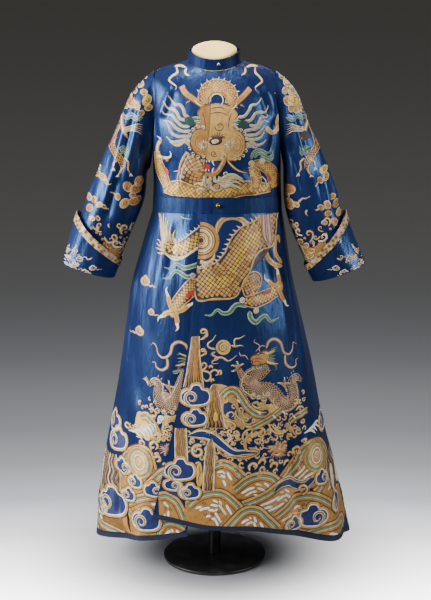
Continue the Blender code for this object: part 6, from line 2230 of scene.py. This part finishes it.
# Lobes of cloud on each sleeve, from its shoulder to its cuff: out, up and radius in mm and
# thread; 1 is the viewer's right sleeve.
SLEEVE_LOBES = {1: ((184, 1388, 9, "gold"), (224, 1342, 9, "tan"), (234, 1322, 9, "yellow"),
                    (198, 1371, 12, "yellow"), (208, 1350, 10, "gold"), (188, 1352, 8, "tan"),
                    (194, 1325, 10, "ochre"), (211, 1326, 13, "yellow"), (223, 1306, 12, "gold"),
                    (205, 1308, 9, "ochre"), (236, 1300, 7, "ochre"), (199, 1088, 15, "ochre"),
                    (192, 1068, 10, "ochre"), (203, 1048, 13, "ochre"), (220, 1048, 8, "gold"),
                    (294, 1142, 10, "yellow"), (300, 1123, 9, "gold"), (284, 1115, 8, "tan"),
                    (319, 1068, 8, "gold"), (330, 1049, 10, "ochre"), (304, 1048, 10, "gold"),
                    (287, 1041, 8, "tan"), (307, 1024, 8, "ochre"), (338, 1024, 9, "gold"),
                    (324, 1002, 9, "ochre"), (297, 1000, 7, "pink")),
                -1: ((190, 1388, 9, "gold"), (230, 1340, 9, "yellow"), (240, 1326, 8, "tan"),
                     (196, 1294, 8, "ochre"), (203, 1370, 12, "tan"), (214, 1352, 8, "ochre"),
                     (180, 1327, 12, "yellow"), (176, 1308, 9, "gold"), (223, 1320, 13, "ochre"),
                     (206, 1313, 9, "ochre"), (238, 1310, 8, "gold"), (188, 1348, 8, "ochre"),
                     (233, 1098, 12, "ochre"), (203, 1111, 12, "gold"), (212, 1091, 13, "ochre"),
                     (220, 1073, 8, "ochre"), (260, 1071, 8, "ochre"), (242, 1053, 12, "gold"),
                     (217, 1056, 12, "ochre"), (203, 1063, 7, "ochre"), (311, 1145, 6, "leaf"),
                     (316, 1128, 8, "gold"), (301, 1122, 9, "ochre"), (291, 1111, 6, "tan"),
                     (325, 1061, 8, "ochre"), (311, 1049, 8, "gold"), (298, 1044, 6, "tan"),
                     (340, 1064, 8, "tan"), (338, 1037, 9, "ochre"), (331, 1011, 7, "gold"),
                     (315, 1012, 6, "ochre"))}

# Tails of those clouds and spume above the cuff: places out and up in mm.
SLEEVE_TAILS = {1: ([(224, 1052), (236, 1066), (246, 1066), (258, 1073)],
                    [(280, 1112), (276, 1104), (270, 1098)],
                    [(284, 1040), (276, 1034), (270, 1036)],
                    [(204, 1340), (196, 1336), (188, 1340)],
                    [(250, 1036), (246, 1026), (252, 1018)]),
                -1: ([(262, 1073), (272, 1080), (282, 1084)],
                     [(290, 1110), (282, 1104), (276, 1108)],
                     [(296, 1042), (288, 1036), (284, 1040)],
                     [(222, 1066), (226, 1076), (222, 1084)], [(284, 998), (287, 992), (284, 986)])}

SLEEVE_SPUME = {1: ((211, 984), (222, 986), (219, 964), (229, 947), (236, 926), (250, 930),
                    (267, 932), (270, 912), (280, 950), (296, 976), (308, 990), (242, 908),
                    (256, 914), (240, 962), (262, 950), (286, 966)),
                -1: ((247, 984), (236, 977), (250, 964), (260, 947), (274, 930), (288, 946),
                     (314, 980), (240, 957), (252, 930), (264, 914), (226, 966), (298, 962),
                     (304, 976), (234, 940), (246, 912), (328, 992))}


def lobe(centre, radius, turn):
    """The outline of one round head, longer than it is wide, at a turn in degrees."""
    way, off = axes(math.radians(turn))
    round_ = np.linspace(0, math.tau, 11)[:-1, None]
    return np.array(centre) + radius * (1.32 * np.cos(round_) * way + np.sin(round_) * off)


def lobes(n, places):
    """Scalloped cloud built up of round heads, each with a dark edge, a pale rim and a curl."""
    for k, (x, z, radius, _) in enumerate(places):
        n.patch(lobe((x, z), radius + 2.2, 50 * k), "umber", 0)
    for k, (x, z, radius, thread) in enumerate(places):
        edge = lobe((x, z), radius * 0.92, 50 * k)
        n.patch(lobe((x, z), radius, 50 * k), thread, 1)
        n.line(np.roll(edge, k, axis=0)[:8], 1.3, "cream", 2, (0.1, 0.1))
        n.line(spiral((x, z), radius * 0.6, 1.5, 70 * k, 1.1), 1.7, "umber", 2, (0.1, 0.2))


def placer(n, side):
    """Places motifs out and up in mm, the other way round on the other side."""
    def put(x, z, size=1.0, turn=0.0, flip=1):
        n.at(x * side, z, size, turn * side, flip * side)

    return put


def sleeve_pattern(n, side):
    """A shoulder dragon, clouds and a strip of sea; side is 1 on the viewer's right."""
    put = placer(n, side)
    put(0, 0)
    # Water in front of the shoulder, with the dragon's tail ribbon and its strands below.
    for k, (body, rim) in enumerate((("azure", "sky"), ("green", "leaf"))):
        ribbon(n, [(194 - 4 * k, 1290 - 7 * k), (208, 1283 - 7 * k), (222, 1291 - 7 * k),
                   (238, 1284 - 7 * k), (247, 1292 - 7 * k)], 6.5, body, rim, "navy", 1, (0.1, 0.4))
    ribbon(n, [(246, 1296), (249, 1272), (243, 1250), (231, 1226)], 11, "tan", "bronze", "cream", 2,
           (0.1, 0.3))
    for k in range(5):
        path = [(240, 1243 + 3 * k), (222, 1248 + 3 * k), (206, 1246 + 5 * k), (192, 1236 + 7 * k)]
        n.line(path, 2.8, ("cream", "gold")[k % 2], 2, (0.05, 0.7))
    # Its body bends down the outer arm to two clawed legs.
    n.scaled([(254, 1274), (264, 1252), (274, 1228), (276, 1206), (264, 1187), (250, 1169),
              (246, 1148)], (5, 8, 9, 9, 8, 8, 4), 7, ("ochre", "gold", "red", "yellow", "pink"), 1,
             "umber")
    n.spikes([(254, 1274), (268, 1250), (279, 1228), (280, 1206)], 8, 6, 7, "cream", 1)
    for path in ([(240, 1176), (230, 1164), (232, 1148), (226, 1134)],
                 [(256, 1172), (268, 1164), (270, 1150)], [(247, 1150), (252, 1138), (258, 1130)]):
        n.stack(path, ((6.4, "umber"), (4.6, "gold")), 1, (0, 0.3))
        (ax, az), (bx, bz) = path[-2:]
        for lean in (-5, 0, 5):
            n.line([(bx, bz), (bx + (bx - ax) * 0.5 + lean, bz + (bz - az) * 0.7)], 3.2, "white", 3,
                   (0, 0.8))
    for k in range(3):
        ribbon(n, [(256 - 3 * k, 1198 - 7 * k), (244, 1206 - 7 * k), (234, 1198 - 7 * k),
                   (226, 1208 - 7 * k)], 5, "green", "leaf", "pine", 1, (0.1, 0.5))
    for x, z, r, thread in ((214, 1332, 3, "red"), (190, 1362, 3, "red"), (262, 1226, 3, "red"),
                            (228, 1262, 3, "pine")):
        n.disc((x, z), r, thread, 3)
    # Clouds.
    for path in SLEEVE_TAILS[side]:
        n.stack(path, ((8.4, "umber"), (6, "ochre"), (1.8, "cream")), 0, (0.1, 0.6))
    lobes(n, SLEEVE_LOBES[side])
    # Sea and spume in the lower corner, inside the cuff.
    n.patch([(232, 932), (246, 944), (262, 930), (282, 944), (300, 950), (304, 926), (262, 884),
             (244, 892), (226, 920)], "ochre", 0)
    for k, (x, z) in enumerate(SLEEVE_SPUME[side]):
        put(x, z, 1.0 + 0.25 * (k % 3), 35 * (k % 4) - 20, 1 - 2 * (k % 2))
        hook(n, ("gold", "tan", "gold", "cream", "ochre")[k % 5], 2)
        put(x + 5, z - 7, 1)
        n.disc((0, 0), 4.2, ("tan", "ochre")[k % 2], 1)
    put(0, 0)
    for shift, width, thread in ((0, 5, "gold"), (4, 1.4, "bronze"), (7, 3, "green"),
                                 (9.4, 1, "cream")):
        n.line([(218, 946), (228, 926), (242, 900), (262, 884)], width, thread, 1, (0.1, 0.1),
               shift=shift)


def cuff_pattern(n, side):
    """Flowers, small clouds and a rock towards the cuff's outer lower corner."""
    rng = random.Random(60 + side)
    put = placer(n, side)
    for k in range(44):
        x = 410 - abs(rng.gauss(0, 34))
        z = 866 + abs(rng.gauss(0, 34)) + (x - 380) * 0.5
        put(x, z, rng.uniform(0.5, 0.9), rng.uniform(0, 360))
        if k % 3:
            flower(n, ("pink", "tan", "sky", "gold", "cream")[k % 5],
                   ("azure", "red", "yellow")[k % 3], 1 + k % 2)
        else:
            hook(n, ("cream", "gold", "tan")[k // 3 % 3], 1)
    for x, z, size, flip in ((352, 862, 0.5, 1), (330, 876, 0.4, -1), (366, 900, 0.4, 1)):
        put(x, z, size, 0, flip)
        cloud(n, "navy", "cream", "pink", True, 1)
    put(0, 0)
    for path in ([(330, 906), (342, 900), (350, 908), (360, 902)],
                 [(318, 880), (330, 872), (340, 880)], [(380, 930), (386, 916), (394, 908)],
                 [(372, 940), (380, 926), (390, 922)]):
        n.stack(path, ((3.6, "cream"), (1.2, "bronze")), 2, (0.1, 0.5))


def embroider_sleeves():
    """Draws and lays the thread of both sleeves and cuffs, front and back."""
    for word, side in (("left", 1), ("right", -1)):
        for part, draw, seed in (("sleeve_", sleeve_pattern, 61), ("cuff_", cuff_pattern, 63)):
            panel = part + word + "_satin"
            for way, face in ((1, "front"), (-1, "back")):
                n = Needle(seed)
                draw(n, side)
                lay_thread(n, part + word + "_thread_" + face, panel, FlatForm(way),
                           facing_gap(panel, way))


# A part of a sleeve faces the viewer if it does so by this much within this many mm.
FACING = 0.18
NEAR = 1.5


def facing_gap(panel, way):
    """How far flat points are inside the part of a panel that faces the front or the back."""
    tree = SURFACES[panel][0]
    out = Vector((0, way, 0))

    def gap(points):
        found = []
        for x, z in points:
            state = -1.0
            for dx, dz in ((0, 0), (NEAR, 0), (-NEAR, 0), (0, NEAR), (0, -NEAR)):
                start = Vector(((x + dx) * MM, 0, (z + dz) * MM)) - out
                place, normal = tree.ray_cast(start, out, 2.0)[:2]
                if place is None or normal.dot(out) > -FACING:
                    break
            else:
                state = 1.0
            found.append(state)
        return np.array(found)

    return gap


# ---- pieces ----


class ROBE_OT_bodice(bpy.types.Operator):
    """Makes the back and both fronts of the bodice"""

    bl_idname = "robe.bodice"
    bl_label = "Bodice"

    def execute(self, context):
        wall = context.scene.robe_cloth.satin_wall
        satin_panel("bodice_back", "bodice", (2, 0), 0, wall, (0.42, 0.40), 0.152, 3)
        satin_panel("bodice_front_left", "bodice", (3, 0), 0, wall, (0.24, 0.37), 0.081, 4)
        satin_panel("bodice_front_right", "bodice", (3, 0), 0, wall, (0.22, 0.37), 0.077, 5)
        embroider_bodice()
        declare_cloth()
        return {"FINISHED"}


class ROBE_OT_skirt(bpy.types.Operator):
    """Makes the two lapped fronts and the back of the skirt"""

    bl_idname = "robe.skirt"
    bl_label = "Skirt"

    def execute(self, context):
        wall = context.scene.robe_cloth.satin_wall
        satin_panel("skirt_front_left", "skirt", (3, 0), 1, wall, (0.63, 0.97), 0.415, 6,
                    HIGH_WAVES)
        satin_panel("skirt_front_right", "skirt", (3, 0), 1, wall, (0.46, 0.97), 0.307, 7,
                    HIGH_WAVES)
        satin_panel("skirt_back", "skirt", (2, 0), 2, wall, (1.05, 0.97), 0.723, 8, BACK_WAVES)
        embroider_skirt()
        declare_cloth()
        return {"FINISHED"}


class ROBE_OT_sleeves(bpy.types.Operator):
    """Makes both sleeves and their turned cuffs"""

    bl_idname = "robe.sleeves"
    bl_label = "Sleeves and cuffs"

    def execute(self, context):
        wall = context.scene.robe_cloth.satin_wall
        for side, seed in (("left", 9), ("right", 10)):
            satin_panel("sleeve_" + side, "sleeve_" + side, (3, 0), 0, wall,
                        (0.50, 0.60), 0.20, seed, HIGH_WAVES)
            satin_panel("cuff_" + side, "cuff_" + side, (2, 0), 0, wall,
                        (0.36, 0.19), 0.046, CUFF_SEEDS[side])
        embroider_sleeves()
        declare_cloth()
        return {"FINISHED"}


def trim_panel(node, wall, surface, follows=None):
    """A narrow trim, from its node's outside to a finished shell; follows names the group of
    creases and the seed of the panel it is sewn to."""
    piece = outer_wall(node, node + "_cloth")
    subdivide(piece, 2)
    if follows:
        group, seed = follows
        crease(piece, CREASES[group], bpy.context.scene.robe_cloth.crease)
        soft_waves(piece, LOW_WAVES, seed)
    keep_surface(piece)
    thicken(piece, wall)
    dress(piece, surface)
    carry(piece, node)


class ROBE_OT_trims(bpy.types.Operator):
    """Makes the waistband, collar, hem bindings and cuff bands"""

    bl_idname = "robe.trims"
    bl_label = "Waistband, collar and trims"

    def execute(self, context):
        cloth = context.scene.robe_cloth
        satin = material("silk_satin_woven", silk_satin, cloth.satin, cloth.satin_shade)
        dark = material("silk_binding_folded", folded_binding, cloth.binding)
        gilt = material("gilt_brocade_band", gilt_brocade, cloth.brocade, linear("4a3a2c"))
        trim_panel("waistband", cloth.band_wall, satin)
        # A copy of the satin with a tenth of its gloss and sheen, which makes the collar darker.
        dulled_satin = material("silk_satin_crosswise", silk_satin, cloth.satin, cloth.satin_shade,
                             0.1)
        trim_panel("collar", cloth.collar_wall, dulled_satin)
        for side, flat in (("back", (0.93, 0.015)), ("left", (0.62, 0.015)),
                           ("right", (0.45, 0.012))):
            trim_panel("hem_binding_" + side, cloth.trim_wall, dark)
        for side, seed in CUFF_SEEDS.items():
            trim_panel("cuff_band_" + side, cloth.trim_wall, gilt,
                       follows=("cuff_" + side, seed))
        return {"FINISHED"}


# ---- form, stand and buttons ---------------------------------------------------


class ROBE_OT_form(bpy.types.Operator):
    """Makes the dress form with its pole and base"""

    bl_idname = "robe.form"
    bl_label = "Dress form and stand"

    def execute(self, context):
        form = context.scene.robe_form
        torso = smooth_copy("form_torso", "form_torso_cover", 2)
        dress(torso, material("cotton_knit_stretched", stretched_cotton, form.cover))
        carry(torso, "form_torso")
        enamel = material("black_enamel_stoved", black_enamel, form.enamel)
        low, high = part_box("stand_base")
        base = turned_disc("stand_base_plate", (high.x - low.x) / 2, low.z, high.z, form.base_edge)
        dress(base, enamel)
        carry(base, "stand_base")
        low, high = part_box("stand_pole")
        pole = turned_disc("stand_pole_tube", (high.x - low.x) / 2, low.z, high.z, 0.6 * MM)
        dress(pole, enamel)
        carry(pole, "stand_pole")
        return {"FINISHED"}


def smooth_copy(node, name, level):
    """A merged and smoothed copy of a closed CAD node."""
    piece = made_of(merged(node), name)
    subdivide(piece, level)
    shade(piece, 50)
    return piece


ROUND = 96  # sides of the floor, base and pole


def primitive(name, operator, **settings):
    """A round primitive of that name, with its place applied."""
    clear_selection()
    operator(vertices=ROUND, **settings)
    piece = bpy.context.object
    piece.name = piece.data.name = name
    bpy.ops.object.transform_apply(location=True, rotation=True, scale=True)
    return piece


def turned_disc(name, radius, bottom, top, edge):
    """A round plate or rod on the upright axis, with its rims rounded."""
    piece = primitive(name, bpy.ops.mesh.primitive_cylinder_add, radius=radius,
                      depth=top - bottom, location=(0, 0, (bottom + top) / 2))
    apply_modifier(piece, "BEVEL", width=edge, segments=4, limit_method="ANGLE",
                   angle_limit=math.radians(60))
    shade(piece, 35)
    return piece


class ROBE_OT_buttons(bpy.types.Operator):
    """Makes the waist button and the collar button"""

    bl_idname = "robe.buttons"
    bl_label = "Buttons"

    def execute(self, context):
        form = context.scene.robe_form
        gilt = material("gilt_brass_cast", cast_metal, form.gilt, linear("5a3c17"), 0.25)
        silver = material("silver_tarnished", cast_metal, form.silver, linear("4c4a47"), 0.3)
        for node, surface, slot in (("waist_button", gilt, "brass"),
                                    ("collar_button", silver, "silvered")):
            button = smooth_copy(node, node + "_dome", 2)
            dress(button, surface)
            carry(button, node)
        return {"FINISHED"}


class ROBE_OT_stage(bpy.types.Operator):
    """Makes the floor, the soft lights, the grey surroundings and the camera"""

    bl_idname = "robe.stage"
    bl_label = "Stage"

    def execute(self, context):
        stage = context.scene.robe_stage
        floor = primitive("stage_floor", bpy.ops.mesh.primitive_circle_add, radius=FLOOR_RADIUS,
                          fill_type="NGON", location=(0, 0, -FLOOR_DROP))
        dress(floor, material("studio_floor_matt", matt_floor, stage.floor, FLOOR_NEAR,
                              FLOOR_RADIUS))
        for name, power, size, place, aim in LIGHTS:
            data = bpy.data.lights.new(name, "AREA")
            data.shape = "RECTANGLE"
            data.size, data.size_y = size
            data.energy = power * (stage.key if name == "key" else stage.others)
            light = new_object(name, data)
            light.location = place
            light.rotation_euler = (Vector(aim) - Vector(place)).to_track_quat("-Z", "Y").to_euler()
        surroundings(context.scene)
        data = bpy.data.cameras.new("camera")
        data.lens = stage.lens
        data.sensor_width = SENSOR
        data.clip_end = FAR
        camera = new_object("camera", data)
        camera.location = (CAMERA_X, -stage.distance, stage.height)
        camera.rotation_euler = (math.pi / 2 - stage.tilt, 0, 0)
        context.scene.camera = camera
        return {"FINISHED"}


# Floor in metres: its edge, where it starts to fade, and how far it lies under the base.
FLOOR_RADIUS = 0.70
FLOOR_NEAR = 0.15
FLOOR_DROP = 0.0002
# Camera: its place to the side in metres, sensor in millimetres and far end in metres.
CAMERA_X = 0.0027
SENSOR = 36
FAR = 60

# Soft boxes: name, power in watts, size, place and what they point at.
LIGHTS = (
    ("key", 300, (2.0, 2.2), (-3.0, -1.2, 1.9), (0, 0, 0.8)),
    ("fill", 85, (0.9, 2.0), (3.2, -1.5, 1.9), (0, 0, 0.8)),
    ("front", 7, (1.6, 1.0), (-0.3, -3.6, 4.0), (0, 0, 0.7)),
    ("top", 33, (0.5, 0.5), (-0.1, -0.05, 2.6), (0, 0, 0.8)),
    ("rim", 18, (0.6, 1.8), (1.2, 2.6, 2.2), (0, 0, 0.9)),
)

# Light of the surroundings in red, green and blue, by how far the view points down.
SURROUNDINGS = (
    (-0.44, (7.6, 7.6, 7.6)), (-0.4262, (6.9, 6.9, 6.9)), (-0.4077, (4.0, 4.0, 4.06)),
    (-0.3875, (1.80, 1.80, 1.88)), (-0.3671, (0.80, 0.81, 0.88)), (-0.3464, (0.46, 0.465, 0.48)),
    (-0.3254, (0.295, 0.300, 0.320)), (-0.3042, (0.222, 0.226, 0.236)),
    (-0.2827, (0.147, 0.150, 0.160)), (-0.2610, (0.108, 0.110, 0.115)),
    (-0.2394, (0.086, 0.086, 0.087)), (-0.1955, (0.071, 0.070, 0.067)),
    (-0.1295, (0.054, 0.053, 0.050)), (-0.0980, (0.047, 0.046, 0.042)),
    (-0.064, (0.0425, 0.041, 0.037)), (0.2, (0.030, 0.029, 0.026)),
)
BRIGHTEST = 7.6
# The even light that the surroundings throw on the robe.
SOFT = (0.80, 0.82, 0.86)
SOFT_STRENGTH = 0.12


def surroundings(scene):
    """Grey that lightens downwards for the eye, and an even soft grey for the light."""
    world = bpy.data.worlds.new("studio_grey")
    scene.world = world
    world.use_nodes = True
    tree = world.node_tree
    tree.nodes.clear()
    way = add(tree, "TexCoord").outputs["Generated"]
    parts = add(tree, "SeparateXYZ", links={0: way})
    low, high = SURROUNDINGS[0][0], SURROUNDINGS[-1][0]
    drop = add(tree, "MapRange", links={0: parts.outputs["Z"], 1: low, 2: high, 3: 0.0, 4: 1.0})
    stops = [((z - low) / (high - low), rgba(light, 1 / BRIGHTEST)) for z, light in SURROUNDINGS]
    seen = add(tree, "Background", links={
        "Color": ramp(tree, drop.outputs[0], stops, False), "Strength": BRIGHTEST})
    soft = add(tree, "Background", links={"Color": rgba(SOFT), "Strength": SOFT_STRENGTH})
    ray = add(tree, "LightPath")
    both = add(tree, "MixShader", links={0: ray.outputs["Is Camera Ray"], 1: soft.outputs[0],
                                         2: seen.outputs[0]})
    add(tree, "OutputWorld", links={"Surface": both.outputs[0]})


class ROBE_PT_panel(bpy.types.Panel):
    """Lists the robe's pieces in the order in which they are made"""

    bl_idname = "ROBE_PT_panel"
    bl_label = "Robe"
    bl_space_type = "VIEW_3D"
    bl_region_type = "UI"
    bl_category = "Robe"

    def draw(self, context):
        for step in STEPS:
            self.layout.operator(step.bl_idname)


GROUPS = {
    "robe_cloth": RobeCloth,
    "robe_thread": RobeThread,
    "robe_form": RobeForm,
    "robe_stage": RobeStage,
}
STEPS = (
    ROBE_OT_bodice, ROBE_OT_skirt, ROBE_OT_sleeves, ROBE_OT_trims, ROBE_OT_form, ROBE_OT_buttons,
    ROBE_OT_stage,
)


def register():
    for group in GROUPS.values():
        bpy.utils.register_class(group)
    for step in STEPS:
        bpy.utils.register_class(step)
    bpy.utils.register_class(ROBE_PT_panel)
    for name, group in GROUPS.items():
        setattr(bpy.types.Scene, name, PointerProperty(type=group))


def unregister():
    for name in GROUPS:
        delattr(bpy.types.Scene, name)
    bpy.utils.unregister_class(ROBE_PT_panel)
    for step in reversed(STEPS):
        bpy.utils.unregister_class(step)
    for group in GROUPS.values():
        bpy.utils.unregister_class(group)


def main():
    """Registers the add-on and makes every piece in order."""
    register()
    for step in STEPS:
        space, name = step.bl_idname.split(".")
        getattr(getattr(bpy.ops, space), name)()


if __name__ == "__main__":
    main()
